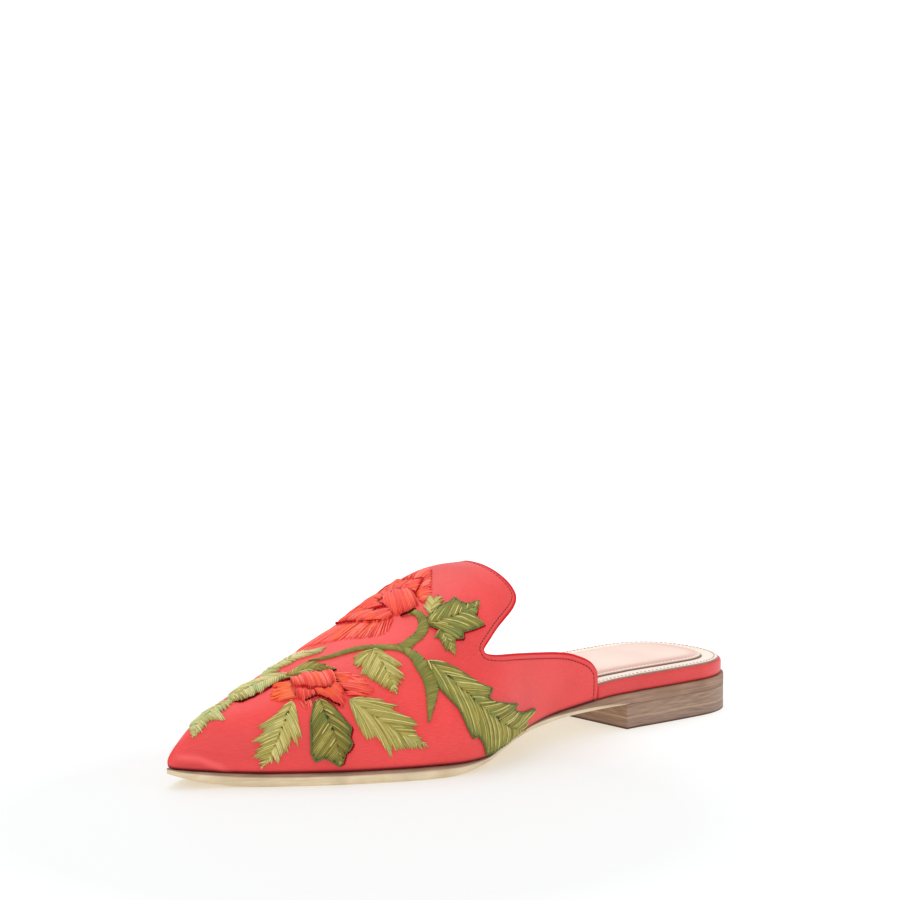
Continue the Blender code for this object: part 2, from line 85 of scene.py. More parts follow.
SOLE_MARGIN = np.array([
    # station, how far the sole's edge stands out past the feather line; the waist is trimmed in under it
    (HEEL_BACK, HEEL_MARGIN), (HEEL_FRONT, HEEL_MARGIN), (90, 0.8), (108, 0.3), (124, -0.6), (144, -0.8),
    (157, 0.2), (170, 0.9), (252, 0.9), (TIP, 0.5)])

bed_low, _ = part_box("insole_board")
heel_low, heel_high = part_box("heel_top_piece")
ORIGIN = np.array([bed_low[0] - HEEL_BACK * 0.001, (heel_low[1] + heel_high[1]) / 2, 0.0])


def place(points):
    """Shoe millimetres to the model's metres."""
    return np.asarray(points, float) * 0.001 + ORIGIN


def spline(rows, at):
    """Hermite curve through the rows: column one is the station, each slope the mean of its two spans'."""
    station, value = rows[:, 0], rows[:, 1:]
    span = np.diff(station)
    rate = np.diff(value, axis=0) / span[:, None]
    middle = span[1:, None] * rate[:-1] + span[:-1, None] * rate[1:]
    slope = np.vstack([rate[:1], middle / (span[1:] + span[:-1])[:, None], rate[-1:]])
    at = np.clip(np.asarray(at, float), station[0], station[-1])
    i = np.clip(np.searchsorted(station, at, side="right") - 1, 0, len(span) - 1)
    w = span[i][..., None]
    u = ((at - station[i]) / span[i])[..., None]
    return ((1 + 2 * u) * (1 - u) ** 2 * value[i] + u * (1 - u) ** 2 * w * slope[i]
            + u * u * (3 - 2 * u) * value[i + 1] + u * u * (u - 1) * w * slope[i + 1])


def ease(value, low, high):
    """0 below low, 1 above high, and 3t^2 - 2t^3 between them."""
    t = np.clip((np.asarray(value, float) - low) / (high - low), 0, 1)
    return t * t * (3 - 2 * t)


def unit(vectors):
    return vectors / np.linalg.norm(vectors, axis=-1, keepdims=True)


def feather(side, station):
    """x, y, z of the feather line; the other side's rows follow the tip, so the toe is round."""
    near, far = (2, 3) if side > 0 else (3, 2)
    beyond = FEATHER[-2::-1][:, [0, 1, far, 4]]
    beyond[:, 0] = 2 * TIP - beyond[:, 0]
    return spline(np.vstack([FEATHER[:, [0, 1, near, 4]], beyond]), station)


def outline(stations, margin):
    """Lateral and medial outline: a superellipse heel, then the feather line, moved out by the margin."""
    x = np.minimum(stations, WAIST_START)
    back = 1 - np.clip((HEEL_ROUND - x) / (HEEL_ROUND - HEEL_BACK), 0, 1) ** HEEL_POWER
    blend = np.clip((x - HEEL_ROUND) / (WAIST_START - HEEL_ROUND), 0, 1)
    heel = HEEL_HALF * back ** (1 / HEEL_POWER) - (HEEL_HALF - FEATHER[0, 2]) * blend ** 2
    sides = []
    for side in (1, -1):
        foot = feather(side, stations)
        sides.append(np.stack([np.where(stations < WAIST_START, stations, foot[..., 0]),
                               np.where(stations < WAIST_START, side * heel, foot[..., 1])], -1))
    loop = np.vstack([sides[0], sides[1][::-1]])
    run = np.roll(loop, -1, axis=0) - np.roll(loop, 1, axis=0)
    run[[0, -1]] = (0, 1)
    middle = len(stations)
    run[[middle - 1, middle]] = (0, -1) if stations[-1] == TIP else run[[middle - 2, middle + 1]]
    normal = unit(np.stack([-run[:, 1], run[:, 0]], -1))
    loop = loop + normal * np.concatenate([margin, margin[::-1]])[:, None]
    return loop[:middle], loop[middle:][::-1]


def closing_up(count):
    """Shares from 0 to 1 that lie closer together towards 1."""
    return 1 - (1 - np.linspace(0, 1, count)) ** 1.35


def foot_length(heel_count, foot_count, end=TIP):
    """Stations close together round the back of the heel, even along the foot, closing up at the toe."""
    heel = HEEL_ROUND - (HEEL_ROUND - HEEL_BACK) * np.cos(np.linspace(0, np.pi / 2, heel_count))
    foot = HEEL_ROUND + (TIP - HEEL_ROUND) * closing_up(foot_count)
    both = np.concatenate([heel, foot[1:]])
    return both[both <= end]


def mesh_piece(name, grids, uvs=None, marks=None, caps=False, closed=True, sharp=None):
    """One piece from grids of points in shoe millimetres, rows by columns, one for each shell. Points that
    meet are merged. caps closes the first and last rows, marks are named numbers kept on the points, or
    functions of them, and a closed piece gets its faces turned outwards."""
    faces, start = [], 0
    for grid in grids:
        rows, columns = grid.shape[:2]
        index = start + np.arange(rows * columns).reshape(rows, columns)
        start += rows * columns
        quads = np.stack([index[:-1, :-1], index[:-1, 1:], index[1:, 1:], index[1:, :-1]], -1)
        faces += quads.reshape(-1, 4).tolist()
        if caps:
            faces += [index[0, ::-1].tolist(), index[-1].tolist()]
    mesh = bpy.data.meshes.new(name)
    mesh.from_pydata(np.concatenate([place(grid).reshape(-1, 3) for grid in grids]), [], faces)
    if uvs is not None:
        corner = np.empty(len(mesh.loops), np.int64)
        mesh.loops.foreach_get("vertex_index", corner)
        flat = np.concatenate([uv.reshape(-1, 2) for uv in uvs])
        mesh.uv_layers.new(name="cloth").data.foreach_set("uv", flat[corner].ravel())
    for mark in (marks or [{}])[0]:
        values = [own[mark](grid) if callable(own[mark]) else own[mark] for grid, own in zip(grids, marks)]
        values = [np.broadcast_to(value, grid.shape[:2]).ravel() for grid, value in zip(grids, values)]
        kept = mesh.attributes.new(mark, "FLOAT", "POINT")
        kept.data.foreach_set("value", np.concatenate(values).astype(np.float32))
    shape = bmesh.new()
    shape.from_mesh(mesh)
    bmesh.ops.remove_doubles(shape, verts=shape.verts, dist=1.5e-6)
    bmesh.ops.dissolve_degenerate(shape, edges=shape.edges, dist=5e-7)
    if closed:
        bmesh.ops.recalc_face_normals(shape, faces=shape.faces)
    shape.to_mesh(mesh)
    shape.free()
    mesh.shade_smooth()
    if sharp is not None:
        mesh.set_sharp_from_angle(angle=np.radians(sharp))
    piece = bpy.data.objects.new(name, mesh)
    bpy.context.scene.collection.objects.link(piece)
    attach(piece, "root")
    return piece


TUCKED = 5.4             # a tuck has died out this far in from the edge
NARROW = 18.0            # insets shrink where the outline's half width is less than this


def layer(name, stations, margin, profile, marks=None, sharp=35, measured=False, tuck=0.0):
    """A layer of the sole. A profile row is (inset, share, height function of x): a point is the outline
    moved in by the inset, then that share of the way to the opposite side. A measured layer's cloth map is
    its own lengths along and across. A tuck moves the edge in by that much more, and the rest by less."""
    wide = np.linalg.norm(np.subtract(*outline(stations, 0 * stations)), axis=-1) / 2
    room = np.where(stations < HEEL_ROUND, 1.0, np.clip(wide / NARROW, 0, 1))
    sides = [[], []]
    for inset, share, height in profile:
        edges = outline(stations, margin - inset * room - tuck * np.clip(1 - inset / TUCKED, 0, 1))
        for side, (own, other) in zip(sides, (edges, edges[::-1])):
            plan = own + (other - own) * share
            side.append(np.column_stack([plan, height(plan[:, 0])]))
    grid = np.stack(sides[0] + sides[1][::-1] + sides[0][:1], 1)
    uvs = None
    if measured:
        steps = [np.linalg.norm(np.diff(grid, axis=k, prepend=grid.take([0], k)), axis=-1) for k in (0, 1)]
        uvs = [np.stack([np.cumsum(step, axis=k) for k, step in enumerate(steps)], -1) * 0.001]
    return mesh_piece(name, [grid], uvs, [marks or {}], caps=True, sharp=sharp)


def sole_bottom(x):
    flat = (x >= SOLE_FLAT[0]) & (x <= SOLE_FLAT[1])
    return np.where(flat, 0.0, np.maximum(spline(SOLE_BOTTOM, x)[..., 0], 0.0))


def sole_top(x):
    """Top of the outsole: level under the heel, then just below the feather line."""
    return np.where(x < WAIST_START, SEAT_TOP, spline(FEATHER[:, [1, 4]], x)[..., 0] - GAP)


def between(low, high, share):
    """Height function a share of the way from one height function to another."""
    return lambda x: low(x) + (high(x) - low(x)) * share


def above(height, lift):
    return lambda x: height(x) + lift


def colour(code):
    """An sRGB hex code as linear red, green, blue and alpha."""
    value = np.array([int(code[i:i + 2], 16) for i in (1, 3, 5)]) / 255
    return (*np.where(value <= 0.04045, value / 12.92, ((value + 0.055) / 1.055) ** 2.4), 1.0)


def feed(node, *placed, **named):
    """Gives a node's inputs their numbers, sRGB hex colours or sources, by place or by name."""
    for key, value in (*placed, *named.items()):
        socket = node.inputs[key.replace("_", " ") if isinstance(key, str) else key]
        if isinstance(value, bpy.types.NodeSocket):
            node.id_data.links.new(value, socket)
        else:
            socket.default_value = colour(value) if isinstance(value, str) else value


def add(tree, kind, *placed, out=0, stops=(), **named):
    """Adds a shader node and gives back one of its outputs. Its inputs come by place or by capitalised
    name, its own settings by small name, and a colour ramp's stops as (place, hex)."""
    node = tree.nodes.new("ShaderNode" + kind)
    for key in [key for key in named if key[0].islower()]:
        setattr(node, key, named.pop(key))
    feed(node, *placed, **named)
    if stops:
        steps = node.color_ramp.elements
        steps.remove(steps[1])
        for i, (position, code) in enumerate(stops):
            step = steps.new(position) if i else steps[0]
            step.position, step.color = position, colour(code)
    return node.outputs[out]


def new_material(name, **fixed):
    """A material, its node tree and its shader, with the shader's constant inputs set."""
    made = bpy.data.materials.new(name)
    made.use_nodes = True
    shader = made.node_tree.nodes["Principled BSDF"]
    feed(shader, **fixed)
    return made, made.node_tree, shader


def dress(piece, material, slot, *nodes):
    """Gives a piece its material and hides the solids that it stands for; slot is not used."""
    piece.data.materials.clear()
    piece.data.materials.append(material)
    if nodes:
        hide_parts(*nodes)


def edge_stain_and_shade(grid):
    """How brown the edge is: all of it at the heel, stained with the stack, then only its upper part, which
    thins to the waist and goes on as a narrow band along the top of the forefoot's edge; that band is stain
    with painted shade at the waist and painted shade under the upper along the forefoot."""
    x, z = grid[..., 0], grid[..., 2]
    share = (z - sole_bottom(x)) / (sole_top(x) - sole_bottom(x))
    limit = 0.06 + 0.72 * np.clip((x - HEEL_FRONT) / 50, 0, 1) ** 0.8
    full = 1 + 0.3 * ease(x, 110, 150)
    return full * ease(share, limit - 0.06, limit + 0.08) + (x < HEEL_FRONT) * (share <= limit)


stations = foot_length(34, 150)
bevel = 0.15 + 0.85 * ease(stations, 60, 74)
sole_margin = spline(SOLE_MARGIN, stations)[..., 0]
edge_rows = [(0.0, 0.0, between(sole_top, sole_bottom, share)) for share in np.linspace(0.15, 0.8, 9)]
bevel_rows = [(cut * bevel, 0.0, between(sole_top, sole_bottom, share))
              for cut, share in ((0.3, 0.944), (0.8, 0.986))]
outsole = layer("outsole_leather", stations, sole_margin, [
    (4.0, 0.3, sole_top), (1.2, 0.0, sole_top), (0.35, 0.0, above(sole_top, -0.04)),
    (0.08, 0.0, above(sole_top, -0.18)), *edge_rows, (0.05, 0.0, between(sole_top, sole_bottom, 0.87)),
    *bevel_rows, (1.5, 0.0, sole_bottom), (4.2, 0.0, sole_bottom), (4.6, 0.0, above(sole_bottom, 0.08)),
    (5.0, 0.0, sole_bottom), (6.0, 0.3, sole_bottom)], marks={"stain_and_shade": edge_stain_and_shade})

# vegetable-tanned sole leather: cut fibres run along the trimmed edge, the wear face is sanded smooth
sole_leather, tree, shader = new_material("vegetable_tanned_edge", Roughness=0.62, Specular_IOR_Level=0.35)
where = add(tree, "TexCoord", out="Object")
along = add(tree, "Mapping", Vector=where, Scale=(60, 60, 1600))
fibre = add(tree, "TexNoise", Vector=along, Scale=1.0, Detail=4.0, Roughness=0.6)
patchy = add(tree, "TexNoise", Vector=where, Scale=90.0, Detail=3.0)
natural = add(tree, "ValToRGB", (0, fibre), stops=((0.25, "#D9C19C"), (0.5, "#EAD6B4"), (0.75, "#F3E5CC")))
brown_stain_and_shade = add(tree, "ValToRGB", (0, fibre), stops=((0.25, "#846553"), (0.5, "#A3806B"), (0.75, "#BA977F")))
# the brown mark: real stain at the heel, stain with painted shade at the waist, painted shade under the upper
# along the forefoot
stain_and_shade = add(tree, "Attribute", out="Fac", attribute_name="stain_and_shade")
mixed = add(tree, "Mix", (0, stain_and_shade), (6, natural), (7, brown_stain_and_shade), out=2, data_type="RGBA")
tone = add(tree, "ValToRGB", (0, patchy), stops=((0.3, "#E4E0DA"), (0.7, "#FFFFFF")))
feed(shader, Base_Color=add(tree, "Mix", (0, 1.0), (6, mixed), (7, tone), out=2, data_type="RGBA",
                            blend_type="MULTIPLY"),
     Normal=add(tree, "Bump", Height=fibre, Strength=0.25, Distance=0.0003))
dress(outsole, sole_leather, "sole_leather", "outsole")


# ----------------------------------------------------------------------------------------------- heel
# A low heel of two leather lifts, glued, ground flush with the outsole's edge and burnished brown. The
# joints show as paler lines; the breast is cut straight across, and the bottom lift is the top piece.

BREAST = 66.6            # front face of the heel
TOP_PIECE_HEIGHT = 4.4
WANDER = 0.0007          # metres; the stack's bands lie between level and this far below it

heel_run = np.concatenate([foot_length(34, 60, BREAST - 0.5), [BREAST]])


def level(height):
    return lambda x: height + 0 * x


def leather_lift(name, low, high, soft):
    """One lift: its outline at every height, the corners eased by soft millimetres."""
    return layer(name, heel_run, HEEL_MARGIN + 0 * heel_run, [
        (4.0, 0.3, level(high)), (soft, 0.0, level(high)), (soft * 0.3, 0.0, level(high - soft * 0.3)),
        (0.0, 0.0, level(high - soft)), (0.0, 0.0, level((high + low) / 2)), (0.0, 0.0, level(low + soft)),
        (soft * 0.3, 0.0, level(low + soft * 0.3)), (soft, 0.0, level(low)), (4.0, 0.3, level(low))])


heel_lift = leather_lift("heel_lift_leather", TOP_PIECE_HEIGHT + 0.04, SEAT_BOTTOM - 0.04, 0.08)
top_piece = leather_lift("heel_top_piece_leather", 0.0, TOP_PIECE_HEIGHT, 0.2)

# burnished stack: flat fibres in thin level bands, pale where glue and wax fill the joint, and darker
# along the bottom edge as painted contact shadow
for piece, name, slot, node, tones in (
        (heel_lift, "burnished_lift", "stack_leather", "heel_lift", ("#7C5E4D", "#9B7C67", "#B0937F")),
        (top_piece, "top_piece_leather", "top_leather", "heel_top_piece", ("#785E50", "#947867", "#A68C7B"))):
    stack, tree, shader = new_material(name, Roughness=0.5, Specular_IOR_Level=0.4)
    where = add(tree, "TexCoord", out="Object")
    along = add(tree, "Mapping", Vector=where, Scale=(110, 110, 1500))
    fibre = add(tree, "TexNoise", Vector=along, Scale=1.0, Detail=5.0, Roughness=0.65)
    wander = add(tree, "TexNoise", Vector=where, Scale=60.0)
    up = add(tree, "SeparateXYZ", (0, where), out="Z")
    height = add(tree, "Math", (0, wander), (1, WANDER), (2, up), operation="MULTIPLY_ADD")
    off = add(tree, "Math", (0, height), (1, (TOP_PIECE_HEIGHT + 0.4) * 0.001), operation="SUBTRACT")
    near = add(tree, "Math", (0, off), operation="ABSOLUTE")
    waxed = add(tree, "MapRange", Value=near, From_Min=0.00012, From_Max=0.0005, To_Min=0.75, To_Max=0.0)
    # painted contact shadow: darker within 1.5 mm of the floor
    painted_contact_shadow = add(tree, "MapRange", Value=height, From_Min=0.0008, From_Max=0.0015, To_Min=0.95, To_Max=0.0)
    last = add(tree, "ValToRGB", (0, fibre), stops=tuple(zip((0.28, 0.5, 0.72), tones)))
    for amount, code in ((waxed, "#C9A88C"), (painted_contact_shadow, "#45200F")):
        last = add(tree, "Mix", (0, amount), (6, last), (7, code), out=2, data_type="RGBA")
    feed(shader, Base_Color=last, Normal=add(tree, "Bump", Height=fibre, Strength=0.3, Distance=0.0003))
    dress(piece, stack, slot, node)


# --------------------------------------------------------------------------------------------- footbed
# An insole board wrapped at its edge in the upper's satin, which shows as a red band behind the wings.
# The satin is pulled down round the board's rounded top corner and caught under it.

BAND_SHADE = 0.35        # painted shade: the band's satin is drawn this much darker than the upper's
WALL = 1.8               # satin, interlining and lining together
WING_END = 82.2          # rear edge of the upper's side wings

BED_THICKNESS = np.array([
    # x, thickness of the footbed
    (0, 5.5), (70, 5.5), (90, 5.1), (115, 4.2), (140, 3.3), (165, 2.8), (266, 2.6)])


def bed_top(x):
    return sole_top(x) + GAP + spline(BED_THICKNESS, x)[..., 0]


def bed_bottom(x):
    return sole_top(x) + GAP


def in_the_upper(x):
    """0 behind the wings, 1 where the upper's walls stand beside."""
    return ease(x, WING_END - 1.2, WING_END + 0.6)


by_the_wings = WING_END + np.array([-1.6, -0.8, 0.0, 0.8])
bed_run = np.unique(np.concatenate([foot_length(34, 120, TIP - 4), by_the_wings]))
# the band carries painted shade all over, for the shade it lies in
band = layer("footbed_band", bed_run, -(WALL + GAP + 0.1) * in_the_upper(bed_run), [
    (6.0, 0.3, bed_top), (2.2, 0.0, bed_top), (1.3, 0.0, above(bed_top, 0.12)),
    (0.7, 0.0, above(bed_top, 0.06)), (0.25, 0.0, above(bed_top, -0.26)), (0.03, 0.0, above(bed_top, -0.8)),
    (0.0, 0.0, above(bed_top, -1.5)), (0.0, 0.0, between(bed_top, bed_bottom, 0.5)),
    (0.0, 0.0, above(bed_bottom, 1.2)), (0.12, 0.0, above(bed_bottom, 0.5)),
    (0.5, 0.0, above(bed_bottom, 0.05)), (1.5, 0.0, bed_bottom), (6.0, 0.3, bed_bottom)],
             marks={"painted_shade": BAND_SHADE}, measured=True)

# duchess satin: long floats of fine silk give soft streaks along the cloth, and a broad low sheen. The
# marks are painted shade (along the sunk stitching, under and beside the toe's fold, over the whole
# band and on the foot), the lining, a painted highlight along the toe's fold and the turned rim
satin, tree, shader = new_material("duchess_satin", Specular_IOR_Level=0.4, Sheen_Weight=0.12,
                                   Sheen_Roughness=0.4, Sheen_Tint="#FF8A7C")
cloth = add(tree, "UVMap", uv_map="cloth")
floats = add(tree, "Mapping", Vector=cloth, Scale=(350, 3200, 1))
streaks = add(tree, "TexNoise", Vector=floats, Scale=1.0, Detail=3.0)
clouds = add(tree, "TexNoise", Vector=cloth, Scale=30.0, Detail=2.0)
silk = add(tree, "ValToRGB", (0, streaks), stops=((0.3, "#EC4342"), (0.5, "#F24846"), (0.7, "#F8504E")))
shade = add(tree, "ValToRGB", (0, clouds), stops=((0.3, "#EDE0E0"), (0.7, "#FFFFFF")))
last = add(tree, "Mix", (0, 1.0), (6, silk), (7, shade), out=2, data_type="RGBA", blend_type="MULTIPLY")
for mark, code, most in (("painted_shade", "#B03034", 0.7), ("lining", "#D9666A", 1.0), ("foot", "#7A0E18", 0.9),
                         ("painted_highlight", "#FC6866", 0.6), ("rim", "#D20A14", 1.0)):
    marked = add(tree, "Attribute", out="Fac", attribute_name=mark)
    amount = add(tree, "Math", (0, marked), (1, most), operation="MULTIPLY", use_clamp=True)
    last = add(tree, "Mix", (0, amount), (6, last), (7, code), out=2, data_type="RGBA")
feed(shader, Base_Color=last, Normal=add(tree, "Bump", Height=streaks, Strength=0.025, Distance=0.0002),
     Roughness=add(tree, "Math", (0, marked), (1, 0.5), (2, 0.43), operation="MULTIPLY_ADD", use_clamp=True))
dress(band, satin, "satin", "insole_board")


# ----------------------------------------------------------------------------------------- sock lining
# A pale pink kid lining over the whole footbed, with a raised foam pad under the heel. One row of
# stitches runs round the edge, and a second holds the pad down in a narrow groove.

SOCK = 0.9               # thickness of the kid
PAD = 0.9                # how far the pad's edge stands up
SOCK_INSET = 1.2         # the lining's edge, in from the footbed's
PAD_INSET = 8.0          # the pad's edge, in from the footbed's
STITCH_INSET = 2.8       # the edge stitches, in from the footbed's
STITCHED_TO = 140.0      # both rows end under the upper

sock_run = bed_run[bed_run < TIP - 10]


def inside_the_wings(x):
    """The lining's edge moves in where it lies inside the upper."""
    return (WALL + 1.6 - SOCK_INSET) * in_the_upper(x)


def sock_top(x):
    return bed_top(x) + 0.04 + SOCK


def pad_fade(x):
    """The pad is full under the heel and thins away under the arch."""
    return 1 - ease(x, 105, 150)


def padded(share, lift=0.0):
    """Sock height with a share of the pad's rise."""
    return lambda x: sock_top(x) + PAD * share * pad_fade(x) + lift * pad_fade(x)


groove, sewn = PAD_INSET - SOCK_INSET, STITCH_INSET - SOCK_INSET
across_the_pad = [
    # how far in from the groove, share of the pad's rise, and rise or drop in mm
    (9, 1.25, 0), (6.5, 1.18, 0), (4.5, 1.1, 0), (3.2, 1.0, 0), (2.2, 0.88, 0), (1.7, 0.78, 0),
    (1.3, 0.76, 0), (0.9, 0.78, 0), (0.6, 0.66, 0), (0.45, 0.4, 0), (0.35, 0, -0.1), (0.1, 0, -0.36),
    (-0.25, 0, -0.28), (-0.6, 0, -0.04)]
sock_profile = [
    (groove + 12, 0.3, padded(1.3)), *[(groove + off, 0.0, padded(*rise)) for off, *rise in across_the_pad],
    (groove - 1.4, 0.0, sock_top), (3.2, 0.0, sock_top),
    (sewn + 0.45, 0.0, sock_top), (sewn, 0.0, padded(0, -0.14)), (sewn - 0.45, 0.0, sock_top),
    (0.5, 0.0, sock_top), (0.12, 0.0, above(sock_top, -0.1)), (0.0, 0.0, above(sock_top, -0.3)),
    (0.0, 0.0, above(bed_top, 0.2)), (0.2, 0.0, above(bed_top, 0.04)), (8.0, 0.3, above(bed_top, 0.04))]
columns = np.array([inset for inset, share, height in sock_profile])
bottom = len(columns) - 2


def round_the_sock(lateral, medial):
    """A mark across the sock from its columns' values, none on its underside."""
    lateral, medial = [np.where(np.arange(len(columns)) < bottom, half, 0) for half in (lateral, medial)]
    return np.concatenate([lateral, medial[::-1], lateral[:1]])[None, :] + 0 * sock_run[:, None]


on_the_pad = ease(columns, groove - 0.2, groove + 1.2)
# painted shade in the pad's groove and along the lining's outer edge
painted_groove_and_edge_shade = np.clip(1.6 - np.abs(columns - groove - 0.18) / 0.3, 0, 1) + 0.75 * (columns < 0.2)
# painted shade on the pad's slope just inside its edge, on its lateral side, and less, but alike on
# both, at the heel's centre
painted_pad_shade = np.exp(-((columns - groove - 2.4) / 3.2) ** 2) * (columns > groove + 1.5)
round_the_heel = ease(sock_run, 6, 30)[:, None]
sock = layer("sock_lining", sock_run, -SOCK_INSET, sock_profile, sharp=60, tuck=inside_the_wings(sock_run),
             marks={"pad": round_the_sock(on_the_pad, on_the_pad),
                    "groove": round_the_sock(painted_groove_and_edge_shade, painted_groove_and_edge_shade),
                    "painted_pad_shade": (round_the_sock(painted_pad_shade, 0.15 * painted_pad_shade) * round_the_heel
                               + round_the_sock(0.5 * painted_pad_shade, 0.5 * painted_pad_shade) * (1 - round_the_heel))})

# kid leather, drum dyed: a fine pebble too small to see, drawn at 0.6 mm; cream outside the pink pad,
# with painted shade on the pad's slope, in its groove and along the lining's edge
kid, tree, shader = new_material("kid_lining", Roughness=0.48, Specular_IOR_Level=0.4)
where = add(tree, "TexCoord", out="Object")
pebble = add(tree, "TexVoronoi", Vector=where, Scale=1600.0)
cloudy = add(tree, "TexNoise", Vector=where, Scale=35.0, Detail=3.0)
pink = add(tree, "ValToRGB", (0, cloudy), stops=((0.3, "#F0D2C3"), (0.7, "#F8DFD1")))
last = add(tree, "ValToRGB", (0, cloudy), stops=((0.3, "#F3E2D3"), (0.7, "#FBEEE1")))
# painted shade on the pad's slope, in its groove and along the lining's edge
for mark, over in (("pad", pink), ("painted_pad_shade", "#D9A598"), ("groove", "#6E4630")):
    amount = add(tree, "Attribute", out="Fac", attribute_name=mark)
    last = add(tree, "Mix", (0, amount), (6, last), (7, over), out=2, data_type="RGBA")
feed(shader, Base_Color=last, Normal=add(tree, "Bump", Height=pebble, Strength=0.12, Distance=0.0002))
dress(sock, kid, "sock_leather", "insole_sock")


def strands(name, middle, side, up, thick, around, marks=None):
    """One piece of many short threads with closed ends. middle is thread, ring, xyz; each ring stands on
    the vectors side and up, at a radius of thick."""
    turn = np.linspace(0, 2 * np.pi, around + 1)
    ring = side[:, :, None] * np.cos(turn)[:, None] + up[:, :, None] * np.sin(turn)[:, None]
    return mesh_piece(name, list(middle[:, :, None] + ring * thick[:, None, None]), marks=marks, caps=True)


def run_of(points):
    """Length along a line of points, from its start."""
    return np.concatenate([[0], np.cumsum(np.linalg.norm(np.diff(points, axis=0), axis=1))])


def read_off(at, run, rows):
    """Rows of points at lengths along their run, or at any other measure of them."""
    return np.stack([np.interp(at, run, column) for column in rows.T], -1)


def stitches(name, path, up, pitch, length, radius):
    """Machine stitches along a path of points: each is a rounded bar whose ends go down into the leather,
    spaced by the pitch. up is the direction away from the leather at each point."""
    run = run_of(path)
    start = (np.arange(int(run[-1] / pitch)) + 0.5) * pitch - length / 2
    at = start[:, None] + np.array([0.0, 0.12, 0.35, 0.65, 0.88, 1.0]) * length
    middle, up = read_off(at, run, path), unit(read_off(at, run, up))
    side = np.cross(unit(np.gradient(middle, axis=1)), up)
    sunk = -0.25 * radius * np.array([2.2, 0.9, 0.2, 0.2, 0.9, 2.2])
    thick = radius * np.array([0.35, 0.85, 1.0, 1.0, 0.85, 0.35])
    return strands(name, middle + up * sunk[:, None], side, up, thick, 6)


def sewing_thread(name, dark, light, mottle=500.0, gloss=0.2):
    """Spun polyester thread: matt, and mottled where it twists, drawn coarser than it is."""
    thread, tree, shader = new_material(name, Roughness=0.6, Specular_IOR_Level=gloss)
    where = add(tree, "TexCoord", out="Object")
    twist = add(tree, "TexNoise", Vector=where, Scale=mottle)
    feed(shader, Base_Color=add(tree, "ValToRGB", (0, twist), stops=((0.3, dark), (0.7, light))))
    return thread


def sock_line(inset, height):
    """Path on the sock at an inset from its edge: along one side, round the heel and back."""
    run = sock_run[sock_run <= STITCHED_TO]
    tuck = inside_the_wings(run) * np.clip(1 - inset / TUCKED, 0, 1)
    lateral, medial = outline(run, -SOCK_INSET - inset - tuck)
    plan = np.vstack([lateral[::-1], medial[1:]])
    return np.column_stack([plan, height(plan[:, 0])])


for name, inset, height, dark, light in (
        ("sock_edge_stitches", sewn, above(sock_top, -0.02), "#B4927F", "#D3B5A3"),
        ("sock_pad_stitches", groove + 1.25, above(padded(0.76), 0.02), "#F3DFCF", "#FFF6EA")):
    path = sock_line(inset, height)
    upright = np.tile([0.0, 0.0, 1.0], (len(path), 1))
    row = stitches(name, path, upright, pitch=2.1, length=1.35, radius=0.24)
    dress(row, sewing_thread(name, dark, light), "sock_leather")


# ----------------------------------------------------------------------------------------------- upper
# The upper is duchess satin over interlining, lined in kid, lasted on a low pointed last and cut as a
# high rounded tongue with two side wings. Its top edge is turned and bound, and one row of stitches
# follows it.

CREST_BLEND = 210.0      # from here the crest's stations draw together towards the tip
SWELL_TOP = 0.7          # share of the rib's rise at which the swell has died out
BINDING = 3.6            # the cloth's grid follows the top edge this far in
EDGE_ROUND = 0.9         # the turned edge's round
TOP_STITCH = 2.6         # stitches, in from the top edge

RIDGE = np.array([
    # x, y, z of the instep's crest, on to the top of the toe
    (60, -5.0, 68.0), (83, -6.0, 68.5), (100, -7.0, 68.9), (112, -7.6, 69.1), (122, -8.0, 69.3),
    (132, -8.2, 69.3), (142, -8.1, 68.0), (152, -7.9, 64.9), (162, -7.9, 60.2), (175, -8.2, 53.9),
    (190, -8.5, 47.3), (205, -9.0, 41.9), (220, -9.5, 36.5), (234, -10.0, 31.0), (244, -10.4, 26.6),
    (252, -10.6, 22.4), (257.5, -10.8, 18.6)])

FULLNESS = np.array([
    # station, lateral power, medial power (2 is an ellipse), lateral swell, medial swell over the feather
    (60, 2.9, 2.9, 1.0, 1.0), (83, 2.7, 2.7, 2.2, 2.2), (100, 2.6, 2.6, 3.4, 3.4),
    (120, 2.45, 2.45, 4.0, 4.0), (140, 2.15, 2.3, 4.4, 4.4), (170, 1.9, 2.2, 2.4, 3.0),
    (200, 1.85, 2.1, 1.6, 2.4), (230, 1.9, 2.0, 1.4, 1.6), (250, 2.1, 2.1, 1.0, 1.0),
    (TIP, 2.3, 2.3, 0.6, 0.6)])

TOPLINE = np.array([
    # share of the rib from feather (0) to crest (1), x of the upper's cut edge, lateral and medial
    (0.0, 82.2, 82.2), (0.06, 82.4, 82.5), (0.09, 82.6, 83.6), (0.112, 82.8, 86.2), (0.133, 83.0, 90.2),
    (0.164, 84.5, 96.4), (0.197, 87.6, 102.6), (0.227, 92.8, 108.2), (0.25, 98.2, 112.6),
    (0.268, 105.0, 116.4), (0.29, 115.4, 121.6), (0.318, 127.4, 129.4), (0.353, 138.6, 138.6),
    (0.378, 143.9, 143.9), (0.395, 146.2, 146.2), (0.411, 146.6, 146.6), (0.432, 141.0, 141.0),
    (0.453, 135.2, 135.2), (0.472, 129.6, 129.6), (0.495, 124.1, 124.1), (0.523, 120.0, 120.0),
    (0.555, 117.7, 117.7), (0.604, 116.8, 116.8), (0.655, 116.8, 116.8), (0.717, 117.2, 117.2),
    (0.787, 117.6, 117.6), (0.858, 117.7, 117.7), (0.934, 117.6, 117.6), (1.0, 117.5, 117.5)])


